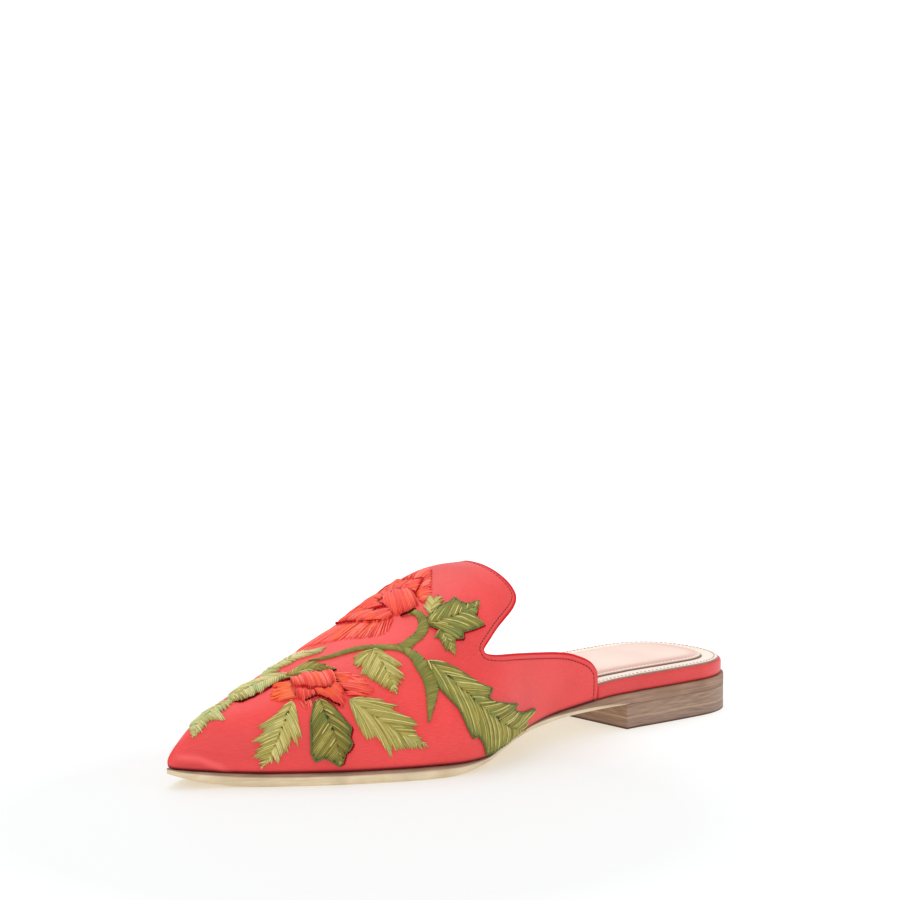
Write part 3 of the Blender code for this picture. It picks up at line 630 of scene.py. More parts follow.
def crest(station):
    """x, y, z of the crest and its slope along x; past the blend its stations slow to a stop at the tip."""
    end = RIDGE[-1, 0]
    span, run = TIP - CREST_BLEND, end - CREST_BLEND
    u = np.clip((station - CREST_BLEND) / span, 0, 1)
    slowed = CREST_BLEND + span * u + (3 * run - 2 * span) * u ** 2 + (span - 2 * run) * u ** 3
    x = np.where(station < CREST_BLEND, station, slowed)
    ahead = np.minimum(x + 0.5, end)
    slope = spline(RIDGE, ahead)[..., 1] - spline(RIDGE, ahead - 1.0)[..., 1]
    return np.concatenate([x[..., None], spline(RIDGE, x)], -1), slope


def half_skin(side, station, share):
    """One side of the last: a superellipse rib from the feather line up to the crest, with a low swell."""
    foot = feather(side, station)
    top, slope = crest(station)
    full = spline(FULLNESS, station)
    power = full[..., 0] if side > 0 else full[..., 1]
    swell = full[..., 2] if side > 0 else full[..., 3]
    angle = share * np.pi / 2
    radius = (np.abs(np.cos(angle)) ** power + np.abs(np.sin(angle)) ** power) ** (-1 / power)
    across, rise = radius * np.cos(angle), radius * np.sin(angle)
    reach = foot[..., :2] - top[..., :2]
    out = unit(reach)
    low = np.clip(rise / SWELL_TOP, 0, 1)
    puff = swell * np.sin(np.pi * low) * (1 - low)
    plan = top[..., :2] + reach * across[..., None] + out * puff[..., None]
    height = foot[..., 2] + (top[..., 2] - foot[..., 2]) * rise
    height = height + slope * (plan[..., 0] - top[..., 0]) * rise ** 2
    return np.concatenate([plan, height[..., None]], -1)


def skin(station, strap):
    """Whole outer face: strap runs 0 at the outer feather, 1 at the crest, 2 at the inner feather."""
    station, strap = np.broadcast_arrays(np.asarray(station, float), np.asarray(strap, float))
    return np.where((strap <= 1)[..., None], half_skin(1, station, strap), half_skin(-1, station, 2 - strap))


def skin_normal(station, strap):
    """Unit normal, from the cross product of the steps over and along the face."""
    along = skin(station + 0.25, strap) - skin(station - 0.25, strap)
    over = skin(station, strap + 0.004) - skin(station, strap - 0.004)
    return unit(np.cross(over, along))


# the cloth's own measure: station in mm along the foot, and height in mm up the rib from the outer feather
ribs = np.arange(78.0, TIP + 1, 1.0)
straps = np.linspace(0, 2, 161)
rib_points = skin(ribs[:, None], straps)
rib_steps = np.linalg.norm(np.diff(rib_points, axis=1), axis=-1)
height_table = np.concatenate([np.zeros((len(ribs), 1)), np.cumsum(rib_steps, 1)], 1)
heights = np.arange(0.0, 170.0, 1.0)
strap_table = np.array([np.interp(heights, row, straps) for row in height_table])


def looked_up(table, row, column):
    """A table's value between whole rows and columns: the four neighbours weighted by nearness."""
    row, column = np.broadcast_arrays(row, column)
    i = np.clip(row.astype(int), 0, table.shape[0] - 2)
    j = np.clip(column.astype(int), 0, table.shape[1] - 2)
    u, v = np.clip(row - i, 0, 1), np.clip(column - j, 0, 1)
    return ((table[i, j] * (1 - v) + table[i, j + 1] * v) * (1 - u)
            + (table[i + 1, j] * (1 - v) + table[i + 1, j + 1] * v) * u)


def strap_of(x, height):
    return looked_up(strap_table, np.asarray(x, float) - ribs[0], np.asarray(height, float))


def height_of(x, strap):
    return looked_up(height_table, np.asarray(x, float) - ribs[0], np.asarray(strap, float) / straps[1])


def cloth_relief(x, height):
    """Soft unevenness of satin pulled over the last: two slow waves, and a shallow drag line at the toe."""
    slow = 0.05 * np.sin(x / 6.1 + height / 9.0) + 0.04 * np.sin(x / 11.0 - height / 5.3 + 1.0)
    toe = np.exp(-((x - 246 - 0.5 * height) / 9) ** 2 - ((height - 5.5) / 4) ** 2)
    heel_side = np.exp(-((x - 101) / 5) ** 2 - ((height - 12) / 7) ** 2)
    return slow + 0.35 * toe * np.sin((height - 0.12 * (x - 240)) * 1.1) - 0.12 * heel_side


def on_satin(spots, lift):
    """Points on the finished satin at x and height, moved out along its normal by the lift."""
    x, height = spots[..., 0], spots[..., 1]
    strap = strap_of(x, height)
    return skin(x, strap) + skin_normal(x, strap) * (lift + cloth_relief(x, height))[..., None]


def throat(strap):
    """x of the cut edge at a strap value."""
    cut = spline(TOPLINE, 1 - np.abs(1 - strap))
    return np.where(strap <= 1, cut[..., 0], cut[..., 1])


def top_edge(count):
    """The cut edge in the cloth's measure, evenly spaced over both sides, with its inward direction."""
    fine = np.linspace(0, 2, 2401)
    edge = skin(throat(fine), fine)
    length = run_of(edge)
    close = np.array([0.12, 0.3, 0.6, 1.0])
    even = np.unique(np.concatenate([np.linspace(0, length[-1], count), close, length[-1] - close]))
    strap = np.interp(even, length, fine)
    line = np.column_stack([throat(strap), height_of(throat(strap), strap)])
    run = np.gradient(line, axis=0)
    inward = unit(np.column_stack([run[:, 1], -run[:, 0]]))
    inward[[0, -1]] = (1, 0)
    return line, inward


# the cloth's grid: rows along the cut edge, close together over the binding, then on down to the toe's tip
edge_line, edge_inward = top_edge(count=262)
near = np.array([0, 0.03, 0.12, 0.28, 0.5, 0.72, 0.95, 1.25, 1.6, 1.95, 2.2, 2.4, 2.6, 2.8, 3.0, 3.3,
                 BINDING])
along_edge = edge_line + edge_inward * near[:, None, None]
along_edge[..., 1] = np.clip(along_edge[..., 1], 0, height_of(along_edge[..., 0], 2.0))
near_strap = strap_of(along_edge[..., 0], along_edge[..., 1])
near_strap[:, [0, -1]] = (0, 2)
near_strap = np.maximum.accumulate(near_strap, axis=1)
to_tip = closing_up(100)[1:, None]
beyond = WING_END + (TIP - WING_END) * to_tip + (along_edge[-1, :, 0] - WING_END) * (1 - to_tip) ** 2
cloth_x = np.concatenate([along_edge[..., 0], beyond])
alike = (near_strap[-1] + 2 - near_strap[-1, ::-1]) / 2
cloth_strap = np.concatenate([near_strap, near_strap[-1] + (alike - near_strap[-1]) * to_tip])
cloth_height = height_of(cloth_x, cloth_strap)
to_other = height_of(cloth_x, 2.0) - cloth_height
inset = np.concatenate([near, np.full(len(to_tip), BINDING + 1.0)])[:, None]

# the face is the satin's unevenness, less the turned edge's round, the sunk stitching and the pull at the
# foot, with a low swelling between the edge and the stitches
rounding = EDGE_ROUND * (1 - np.sqrt(1 - np.clip(1 - inset / EDGE_ROUND, 0, 1) ** 2))
stitched_down = np.exp(-((inset - TOP_STITCH) / 0.32) ** 2)
tucked_foot = 0.3 * (np.exp(-cloth_height / 0.5) + np.exp(-to_other / 0.5))
face = (cloth_relief(cloth_x, cloth_height) * ease(inset, 1, 4.5) - rounding - 0.22 * stitched_down
        + 0.12 * np.exp(-((inset - 1.3) / 0.9) ** 2) - tucked_foot)
wall = WALL * np.clip((TIP - cloth_x) / 30, 0.25, 1) ** 0.5
normal = skin_normal(cloth_x, cloth_strap)
outside = skin(cloth_x, cloth_strap) + normal * face[..., None]
inside = skin(cloth_x, cloth_strap) + normal * np.minimum(rounding - wall, face)[..., None]


def round_the_wall(out, lining=0.0):
    """Out over the foot, back along the lining and closed at the outer feather."""
    out, lining = np.broadcast_to(out, cloth_x.shape), np.broadcast_to(lining, cloth_x.shape)
    return np.concatenate([out, lining[:, ::-1], out[:, :1]], 1)


# the turned rim is brightest up on the tongue; at the toe the satin drags in one fold, with a painted
# highlight along its crest, painted shade under it and a broad patch of painted shade on the toe's side;
# the foot is darkened as painted shade where it goes down behind the sole
to_foot = np.minimum(cloth_height, to_other)
reach = 0.9 + 0.9 * ease(to_foot, 40, 60)
rim = (1 - ease(inset, reach, reach + 0.4)) * (0.35 + 0.65 * ease(to_foot, 8, 22))
toe_fold = 4.8 - 0.45 * np.maximum(256 - cloth_x, 0)
at_toe = ease(cloth_x, 245, 250) * (1 - ease(cloth_x, 262, 266))
# painted highlight along the crest of the toe's fold
painted_highlight = np.exp(-((cloth_height - toe_fold) / 1.3) ** 2) * at_toe
# painted shade under the toe's fold
under_fold = 0.5 * np.exp(-((cloth_height - toe_fold + 2.8) / 1.0) ** 2) * at_toe
# painted shade: a broad darker patch on the toe's side; the shape has no hollow there
painted_shade_patch = 0.28 * np.exp(-((cloth_x - 242) / 13) ** 2 - ((cloth_height - 9.5) / 6.5) ** 2)
# painted shade: the upper's foot is darkened where it goes down behind the sole
foot = np.clip(1.4 * np.exp(-(cloth_height / 0.9) ** 2) + 1.4 * np.exp(-(to_other / 0.9) ** 2), 0, 1)
upper = mesh_piece(
    "upper_satin", [np.concatenate([outside, inside[:, ::-1], outside[:, :1]], 1)],
    [np.stack([round_the_wall(cloth_x, cloth_x), round_the_wall(cloth_height, cloth_height)], -1) * 0.001],
    [{"rim": round_the_wall(rim, rim), "painted_shade": round_the_wall(stitched_down + under_fold + painted_shade_patch),
      "foot": round_the_wall(foot), "painted_highlight": round_the_wall(painted_highlight),
      "lining": round_the_wall(0.0, ease(inset, 0.8, 1.4))}])
dress(upper, satin, "satin", "upper")

# polyester top-stitching, a darker red than the satin, sunk into it
stitch_line = edge_line + edge_inward * TOP_STITCH
to_inner = height_of(stitch_line[:, 0], 2.0) - stitch_line[:, 1]
stitch_line = stitch_line[(stitch_line[:, 1] > 1.2) & (to_inner > 1.2)]
stitch_strap = strap_of(stitch_line[:, 0], stitch_line[:, 1])
stitch_up = skin_normal(stitch_line[:, 0], stitch_strap)
stitch_path = skin(stitch_line[:, 0], stitch_strap) - stitch_up * 0.16
top_stitches = stitches("upper_top_stitches", stitch_path, stitch_up, pitch=1.7, length=1.1, radius=0.2)
dress(top_stitches, sewing_thread("red_sewing_thread", "#7E0F18", "#A21E26", 700.0, 0.15), "satin")


# ------------------------------------------------------------------------------------------ embroidery
# Raised satin stitch worked by hand over felt padding: every leaf and petal is a block of parallel silk
# threads from its midrib or heart to a ragged edge. Places are in the cloth's own measure.

THREAD = 0.52            # distance between threads; the real floss lies closer, too fine to show
THREAD_RIDGE = 0.13      # a thread stands this far above and below the block's mean surface
ACROSS = 4               # rows of points to a thread: its valley, two flanks and its crest
UNDER = -0.15            # a block's underside, just below the satin's face


def dense(rows):
    """Straight lines between the rows, with 60 points on each."""
    rows = np.array(rows, float)
    last = len(rows) - 1
    return read_off(np.linspace(0, last, last * 60 + 1), np.arange(len(rows)), rows)


def smooth(rows, count):
    """A smooth line through the rows, evenly spaced by length."""
    rows = np.array(rows, float)
    run = run_of(rows[:, :2])
    return spline(np.column_stack([run, rows]), np.linspace(0, run[-1], count))


def short_unit(vectors):
    """Unit vectors, but shorter where the vector is under 0.2 mm, so that a point has no direction."""
    return vectors / np.maximum(np.linalg.norm(vectors, axis=1, keepdims=True), 0.2)


def threads_at(starts, ends, at=None, pitch=THREAD):
    """Threads between two lines, set a pitch apart, measured across them half way along, or at shares."""
    way = short_unit(ends - starts)
    step = np.diff((starts + ends) / 2, axis=0)
    across = np.abs(step[:, 0] * way[1:, 1] - step[:, 1] * way[1:, 0])
    spot = np.concatenate([[0], np.cumsum(across + 1e-6)])
    if at is None:
        at = np.linspace(0, 1, ACROSS * max(int(spot[-1] / pitch), 3) + 1)
    at = np.asarray(at) * spot[-1]
    return at, read_off(at, spot, starts), read_off(at, spot, ends)


def block(starts, ends, pad, seed, ragged, pitch=THREAD, root=0.5, edge=0.25, belly=0.4, tone=0.5,
          spread=0.32, lumps=0.0):
    """A padded block of satin stitch between a start line and an end line, as a closed shell.

    Along a thread the height goes from root times the pad, up to the pad at the belly, and down to the
    edge: two quarter waves. Across threads it is a row of ridges. Thread ends are ragged and pointed, some
    stand out as spikes, each thread has its own tone, and some start in a needle hole; the valleys between
    threads and those needle holes are marked for painted shade.
    """
    draw = np.random.default_rng(seed)
    at, begin, end = threads_at(starts, ends, pitch=pitch)
    count = len(at) // ACROSS

    phase = np.arange(len(at)) % ACROSS
    own = np.minimum(np.arange(len(at)) // ACROSS, count - 1)
    before = np.maximum(own - (phase == 0), 0)
    reach = (draw.uniform(-0.8, 0.35, count) + 0.5 * (draw.random(count) < 0.25)) * ragged
    reach = np.minimum(reach[own], reach[before]) - ragged * np.array([0.6, 0.15, 0.0, 0.15])[phase]
    shade = draw.uniform(-spread, spread, count)
    shade = (shade[own] + shade[before]) / 2
    raised = draw.uniform(-0.08, 0.08, count)[own]
    length = np.linalg.norm(end - begin, axis=1, keepdims=True)
    end = end + short_unit(end - begin) * reach[:, None] * np.clip(length / 3, 0, 1)

    v = np.array([0, 0.06, 0.16, 0.3, 0.45, 0.6, 0.74, 0.86, 0.94, 1.0])
    rise = root + (1 - root) * np.sin(np.clip(v / belly, 0, 1) * np.pi / 2)
    fall = np.sqrt(np.clip(1 - np.clip((v - belly) / (1 - belly), 0, 1) ** 2.2, 0, 1))
    height = np.where(v < belly, rise, fall) * (pad - edge)
    height = height * (1 + lumps * np.sin(at / 0.8 + seed) * np.sin(at / 2.3))[:, None]
    height = edge + height * np.clip(length / 3.5, 0.25, 1) + raised[:, None]
    height = height + (THREAD_RIDGE * np.array([-1.0, 0.45, 1.0, 0.45])[phase])[:, None]
    share = np.concatenate([v, v[[9, 6, 3, 0]], v[:1]])
    plan = begin[:, None] + (end - begin)[:, None] * share[:, None]
    lift = np.concatenate([height, np.full((len(at), 4), UNDER), height[:, :1]], 1)
    uv = np.stack([np.broadcast_to(at[:, None], lift.shape), share * length], -1) * 0.001
    needle_hole = 2.0 * (share < 0.08) * (draw.random(count)[own] < 0.3)[:, None]
    marks = {"tone": (tone + shade)[:, None], "out": share[None, :],
             "painted_valley_shade": np.maximum((phase == 0)[:, None], needle_hole)}
    return on_satin(plan, lift), uv, marks


def sew(name, shells):
    """One piece of several closed shells."""
    return mesh_piece(name, *zip(*shells), caps=True)


def leaf_sides(base, tip, bend, minus, plus, slants):
    """Start and end lines of a leaf's two sides, from rows of (share of the way to the tip, half width).
    The midrib bows sideways as half a sine wave. Threads leave it at a slant towards the tip, which goes
    from the first number at the base to the second at the tip."""
    base, tip = np.array(base, float), np.array(tip, float)
    length = np.linalg.norm(tip - base)
    ahead = (tip - base) / length
    left = np.array([-ahead[1], ahead[0]])

    def midrib(s):
        bow = bend * np.sin(np.pi * np.clip(s, 0, 1))
        return base + ahead * (length * s)[:, None] + left * bow[:, None]

    sides = []
    for rows, hand in ((minus, -1), (plus, 1)):
        edge = dense(rows)
        slant = np.radians(np.interp(edge[:, 0], (0, 1), slants))
        begin = np.maximum.accumulate(np.clip(edge[:, 0] - edge[:, 1] / np.tan(slant) / length, 0, 1))
        starts = midrib(begin) - left * (0.25 * hand)
        sides.append((starts, midrib(edge[:, 0]) + left * (edge[:, 1] * hand)[:, None]))
    return sides


LEAVES = [
    # name, thread, base, tip (station and height), bend, pad, below and above the midrib: share of the
    # way to the tip and half width, from tooth to tooth
    ("leaf_low_front", "light", (221, 29.2), (237.5, 1.9), 0, 1.1,
     [(0, .5), (.18, 2.9), (.38, 4.9), (.46, 6.2), (.49, 4.8), (.6, 6.6), (.52, 3.4), (.64, 4.2), (.75, 3.4),
      (.86, 3.5), (.84, 1.6), (1, 0)],
     [(0, .5), (.1, 1.6), (.3, 3.2), (.54, 6.6), (.56, 4.4), (.76, 6.4), (.74, 4.0), (.92, 3.9), (.92, 2.4),
      (1, 0)]),
    ("leaf_low_middle", "olive", (213, 29), (213.5, 2.1), 0, 1.8,
     [(0, 1.4), (.1, 3.2), (.22, 4.1), (.37, 5.2), (.46, 6.2), (.6, 4.6), (.7, 5.0), (.77, 3.8), (.82, 2.2),
      (.95, 1.2), (1, 0)],
     [(0, 1.2), (.13, 2.9), (.35, 5.8), (.62, 7.7), (.82, 8.6), (.93, 7.5), (.88, 5.2), (.9, 3.4), (1, 0)]),
    ("leaf_low_rear", "light", (203.5, 28.6), (183, 7.6), 2.5, 1.2,
     [(0, .4), (.05, 2.4), (.16, 6.5), (.27, 8.3), (.45, 9.7), (.42, 7.1), (.7, 7.6), (.74, 4.0), (1, 0)],
     [(0, .4), (.15, 5.1), (.3, 8.1), (.43, 9.9), (.49, 6.6), (.67, 8.7), (.78, 10.2), (.69, 6.4), (.81, 5.2),
      (1, 0)]),
    ("leaf_middle", "light", (185, 52.1), (187.5, 29.4), 0, 1.2,
     [(0, 1.5), (.04, 3.1), (.22, 4.1), (.39, 6.0), (.5, 3.8), (.63, 5.2), (.7, 3.2), (.8, 2.2), (1, 0)],
     [(0, 1.5), (.03, 3.8), (.09, 5.8), (.33, 9.2), (.37, 7.1), (.54, 7.9), (.7, 6.8), (.74, 4.7), (.88, 3.8),
      (1, 0)]),
    ("leaf_long", "dark", (171.5, 42), (130.5, 0.9), 6.5, 1.4,
     [(0, .6), (.07, 3.6), (.16, 5.6), (.25, 6.6), (.35, 7.3), (.47, 9.2), (.46, 5.1), (.51, 5.0), (.63, 7.3),
      (.77, 9.2), (.75, 7.0), (.81, 6.2), (.91, 7.0), (1.02, 9.8), (1.0, 6.4), (.99, 3.2), (1, 0)],
     [(0, .6), (.05, 3.1), (.1, 5.2), (.15, 6.5), (.21, 6.8), (.3, 7.3), (.43, 11.1), (.49, 12.1), (.51, 9.9),
      (.59, 10.8), (.67, 13.2), (.79, 8.6), (.83, 7.1), (.89, 4.2), (.96, 1.6), (1, 0)]),
    ("leaf_throat", "dark", (162.5, 58.3), (140, 55.8), 0, 1.7,
     [(0, .5), (.1, 4.2), (.27, 6.1), (.44, 7.2), (.53, 6.7), (.67, 7.8), (.72, 5.0), (.8, 3.0), (1.08, 1.8),
      (1, 0)],
     [(0, .5), (.12, 4.0), (.2, 7.4), (.3, 9.6), (.43, 10.2), (.47, 7.7), (.74, 8.1), (.95, 8.0), (.85, 3.4),
      (1, 0)]),
    ("leaf_throat_small", "light", (159, 62.8), (153.5, 68.2), 0, 0.9,
     [(0, .4), (.37, 2.9), (.83, 3.6), (1.33, 2.5), (.95, .6), (1, 0)],
     [(0, .4), (.4, 1.6), (.85, 3.4), (1.4, 1.0), (1, 0)]),
    ("leaf_throat_low", "dark", (160, 54.3), (160.5, 42.0), 0, 1.0,
     [(0, .8), (.22, 2.1), (.48, 3.7), (.6, 2.4), (.79, 1.6), (1, 0)],
     [(0, .8), (.22, 3.9), (.39, 2.8), (.72, 2.6), (.85, 1.1), (1, 0)]),
    ("leaf_toe", "pale", (235.5, 34.9), (257.2, 12.5), 1.5, 1.1,
     [(0, .5), (.11, 2.5), (.23, 2.4), (.4, 2.8), (.48, 5.6), (.56, 2.5), (.82, 1.8), (1, 0)],
     [(0, .5), (.2, 2.0), (.35, 3.4), (.45, 1.8), (.65, 3.0), (.8, 1.6), (.93, 2.4), (1, 0)]),
    ("leaf_crest_front", "pale", (216, 44.7), (235.5, 33.1), 2.2, 1.7,
     [(0, 1.5), (.3, 3.2), (.52, 4.0), (.74, 3.6), (.95, 2.0), (1, 0)],
     [(0, 1.5), (.12, 4.2), (.3, 3.6), (.45, 4.6), (.65, 3.6), (.85, 2.8), (1, 0)]),
    ("leaf_crest_rear", "pale", (221, 48.6), (195.5, 61), -2.6, 1.2,
     [(0, .4), (.15, 1.8), (.3, 2.8), (.45, 2.4), (.62, 3.6), (.8, 4.2), (.86, 2.0), (1, 0)],
     [(0, .4), (.15, 2.2), (.3, 1.5), (.45, 2.4), (.6, 1.3), (.75, 2.9), (.87, 2.4), (1, 0)]),
    ("leaf_calyx", "olive", (218, 42.4), (200.5, 44.6), -2.2, 1.4,
     [(0, .3), (.19, 1.6), (.37, 2.5), (.59, 4.7), (.77, 6.5), (.88, 6.2), (.9, 3.6), (.95, 1.4), (1, 0)],
     [(0, .3), (.2, 1.7), (.31, 2.1), (.38, 4.3), (.43, 5.7), (.55, 4.6), (.71, 2.0), (.85, 1.2), (1, 0)])]

# stranded silk floss: each thread is many parallel filaments, which shine along their length; the dye
# varies from thread to thread, and the valleys between threads and some of the needle holes are darkened
# as painted shade
floss = {}
for name, dark, mid, light, fringe_code, tint in (
        ("pale", "#8E8A3A", "#CFC37C", "#ECE2AA", "#C2BF7A", "#BACA90"),
        ("light", "#8A7E32", "#C2B25E", "#DDD28A", "#B6AA58", "#B6B268"),
        ("olive", "#5A581C", "#968838", "#BCAC5A", "#667434", "#748038"),
        ("dark", "#5E5C20", "#9C9440", "#BCB25C", "#7C8444", "#86904A"),
        ("stem", "#666224", "#968E42", "#B0A858", "#8A8842", "#7E8E42"),
        ("coral", "#C4281E", "#FF5A4A", "#FF927F", "#FF5848", "#FF7038"),
        ("tangerine", "#D03A20", "#FC5C38", "#FF8858", "#FA5640", "#FF7A3C"),
        ("rim", "#3A4A20", "#5E7636", "#809A50", "#5E7636", "#5E7636"),
        ("crimson", "#30040A", "#B8101C", "#DC2C2C", "#B8101C", "#B8101C")):
    dull = name == "crimson"
    floss[name], tree, shader = new_material("silk_floss_" + name, Roughness=0.55, Sheen_Roughness=0.4,
                                             Specular_IOR_Level=0.02 if dull else 0.3,
                                             Sheen_Weight=0.0 if dull else 0.08)
    cloth = add(tree, "UVMap", uv_map="cloth")
    along = add(tree, "Mapping", Vector=cloth, Scale=(9000, 500, 1))
    filament = add(tree, "TexNoise", Vector=along, Scale=1.0, Detail=2.0)
    where = add(tree, "TexCoord", out="Object")
    patches = add(tree, "TexNoise", Vector=where, Scale=170.0, Detail=1.0)
    own, out, painted_valley_shade = [add(tree, "Attribute", out="Fac", attribute_name=mark)
                        for mark in ("tone", "out", "painted_valley_shade")]
    stirred = add(tree, "Math", (0, filament), (1, 0.4), (2, own), operation="MULTIPLY_ADD")
    redyed = add(tree, "MapRange", Value=patches, From_Min=0.5, From_Max=0.68, To_Max=0.7)
    fringe = add(tree, "MapRange", Value=out, From_Min=0.7, From_Max=1.0, To_Max=0.6)
    # painted shade in the valleys between threads and in some needle holes
    valley_shade = add(tree, "Math", (0, painted_valley_shade), (1, 0.6), operation="MULTIPLY", use_clamp=True)
    needle_hole_shade = add(tree, "MapRange", Value=painted_valley_shade, From_Min=1.1, From_Max=1.8, To_Max=0.8)
    last = add(tree, "ValToRGB", (0, stirred), stops=((0.2, dark), (0.7, mid), (1.0, light)))
    green = name in ("pale", "light", "olive", "dark", "stem")
    for amount, code in ((redyed, tint), (fringe, fringe_code), (valley_shade, dark),
                         (needle_hole_shade, "#2A2410" if green else "#5A0C10")):
        last = add(tree, "Mix", (0, amount), (6, last), (7, code), out=2, data_type="RGBA")
    feed(shader, Base_Color=last, Normal=add(tree, "Bump", Height=filament, Strength=0.3, Distance=0.0002))

# how ragged each thread's fringe is, and the slants and tones of the leaves that differ from the usual
SLANT, TONE = (38, 38), 0.5
RAGGED = {"light": 1.4, "pale": 1.3, "olive": 0.9, "dark": 1.0}
SLANTS = {"leaf_low_front": (26, 34), "leaf_low_rear": (20, 32), "leaf_middle": (26, 36),
          "leaf_long": (22, 46), "leaf_throat": (30, 42)}
TONES = {"leaf_low_rear": 0.38, "leaf_middle": 0.42, "leaf_long": 0.55, "leaf_throat_small": 0.6}
sides_of = {}
for seed, (name, kind, base, tip, bend, pad, minus, plus) in enumerate(LEAVES):
    sides_of[name] = leaf_sides(base, tip, bend, minus, plus, SLANTS.get(name, SLANT))
    shells = [block(starts, ends, pad, seed * 2 + k, ragged=RAGGED[kind], tone=TONES.get(name, TONE))
              for k, (starts, ends) in enumerate(sides_of[name])]
    dress(sew(name + "_threads", shells), floss[kind], "thread_" + kind, name)


# the veins and corded edges, laid over the finished leaves as single twisted cords
def cords(name, lines, radius, lift, taper=8.0, rings=14, sides=6, ripple=0.12, tone=0.5):
    """Cords along lines in the cloth's measure, standing at the lift, a row of numbers along them. Their
    ends thin out the sooner the higher the taper; the plies are a ripple in the radius."""
    t = np.linspace(0, 1, rings)
    at = np.stack([smooth(line, rings) for line in lines])
    middle = on_satin(at, np.interp(t, np.linspace(0, 1, len(lift)), lift))
    up = skin_normal(at[..., 0], strap_of(at[..., 0], at[..., 1]))
    thick = radius * np.clip(np.minimum(t, 1 - t) * taper, 0.3, 1)
    thick = thick * (1 + ripple * np.cos(np.arange(rings) * 2.1))
    tones = tone + np.random.default_rng(len(lines)).uniform(-0.25, 0.25, len(lines))
    side = np.cross(unit(np.gradient(middle, axis=1)), up)
    return strands(name, middle, side, up, thick, sides, [{"tone": own} for own in tones])


def straight_stitches(name, count, seed, reach, start):
    """Lines of single long stitches laid along a leaf's own threads, at odd spacings and lengths."""
    draw = np.random.default_rng(seed)
    lines = []
    for starts, ends in sides_of[name]:
        shares = np.linspace(0.02, 0.98, count) + draw.uniform(-0.4, 0.4, count) / count
        _, begin, end = threads_at(starts, ends, np.sort(np.clip(shares, 0, 1)))
        near, far = draw.uniform(0, start, (count, 1)), draw.uniform(*reach, (count, 1))
        first, last = begin + (end - begin) * near, begin + (end - begin) * far
        lines += list(np.stack([first, (first + last) / 2, last], 1))
    return lines


for name, kind, count, radius, reach, start, lift, tone in (
        ("leaf_low_front", "light", 9, 0.2, (0.6, 1.0), 0.3, (0.9, 1.35, 0.9), 0.75),
        ("leaf_low_rear", "light", 10, 0.22, (0.7, 1.05), 0.25, (1.0, 1.5, 0.9), 0.8),
        ("leaf_middle", "light", 8, 0.2, (0.6, 1.0), 0.3, (1.0, 1.45, 0.9), 0.85),
        ("leaf_low_middle", "light", 6, 0.26, (0.25, 0.6), 0.1, (1.5, 2.1, 2.0), 0.45),
        ("leaf_long", "light", 19, 0.25, (0.6, 0.98), 0.06, (1.2, 1.75, 1.3), 0.62),
        ("leaf_throat", "light", 9, 0.24, (0.4, 0.85), 0.2, (1.4, 2.0, 1.7), 0.6),
        ("leaf_throat_low", "light", 5, 0.22, (0.5, 0.9), 0.1, (0.9, 1.3, 1.0), 0.65),
        ("leaf_calyx", "light", 6, 0.2, (0.35, 0.7), 0.1, (1.1, 1.6, 1.4), 0.6),
        ("leaf_toe", "pale", 7, 0.2, (0.6, 1.0), 0.2, (0.9, 1.3, 0.8), 0.85),
        ("leaf_crest_front", "pale", 9, 0.2, (0.5, 0.95), 0.2, (1.2, 1.8, 1.2), 0.8)):
    lines = straight_stitches(name, count, len(name) + count, reach, start)
    dress(cords(name + "_veins", lines, radius, lift, tone=tone), floss[kind], "thread_" + kind)


def edge_line_of(name, hand, out):
    """A leaf's toothed edge on one side, moved out."""
    starts, ends = sides_of[name][hand]
    line = ends[::12]
    keep = np.concatenate([[True], np.linalg.norm(np.diff(line, axis=0), axis=1) > 0.05])
    line, begin = line[keep], starts[::12][keep]
    return line + short_unit(line - begin) * out


for name, kind in (("leaf_low_middle", "dark"), ("leaf_long", "dark"), ("leaf_throat", "dark")):
    lines = [edge_line_of(name, hand, -0.2) for hand in (0, 1)]
    dress(cords(name + "_corded_edge", lines, 0.36, (0.5,), taper=60, rings=110, ripple=0.3), floss["rim"],
          "thread_" + kind)

# each stem is one narrow block from side to side: station, height and half width along it
STEM_MAIN = [(205, 52.5, .5), (198, 52.9, .8), (192.5, 54.4, 1.0), (187.5, 54.9, 1.2), (182, 53.1, 1.4),
             (176.5, 51, 1.6), (175, 51, 1.8), (171.5, 52.8, 1.8), (167.5, 54.9, 1.8), (164.2, 58.3, 1.8),
             (162.4, 62.4, 1.7), (162.2, 65.4, 1.6), (163, 67.2, 1.4), (165, 67.8, 1.0)]
STEM_LOWER = [(185, 54.2, .3), (181.5, 52.8, .8), (178.2, 51.2, 1.2), (175.6, 48.6, 1.7), (174.3, 44.5, 2.1),
              (174, 40, 2.5), (174, 34, 2.6), (176, 27.7, 2.0), (178.5, 22.4, 1.2), (181, 16.7, .3)]
for name, rows, slant, kind in (("stem_main", STEM_MAIN, 3.2, "olive"),
                                ("stem_lower", STEM_LOWER, 2.6, "dark")):
    line = smooth(rows, 240)
    run, ahead = run_of(line[:, :2]), unit(np.gradient(line[:, :2], axis=0))
    out = np.column_stack([-ahead[:, 1], ahead[:, 0]]) * line[:, 2:]
    far_side = read_off(np.minimum(run + slant, run[-1]), run, line[:, :2] + out)
    shell = block(line[:, :2] - out, far_side, 1.0, 40 + len(rows), pitch=0.4, ragged=0.3, root=0.35,
                  edge=0.3, belly=0.5, spread=0.22)
    dress(sew(name + "_threads", [shell]), floss["stem"], "thread_" + kind, name)


# ------------------------------------------------------------------------------------------- blossoms
# Two blossoms in the same raised stitch: folded petals over thicker felt, each petal's threads running
# from its heart to its rim, with long loose straight stitches round them.

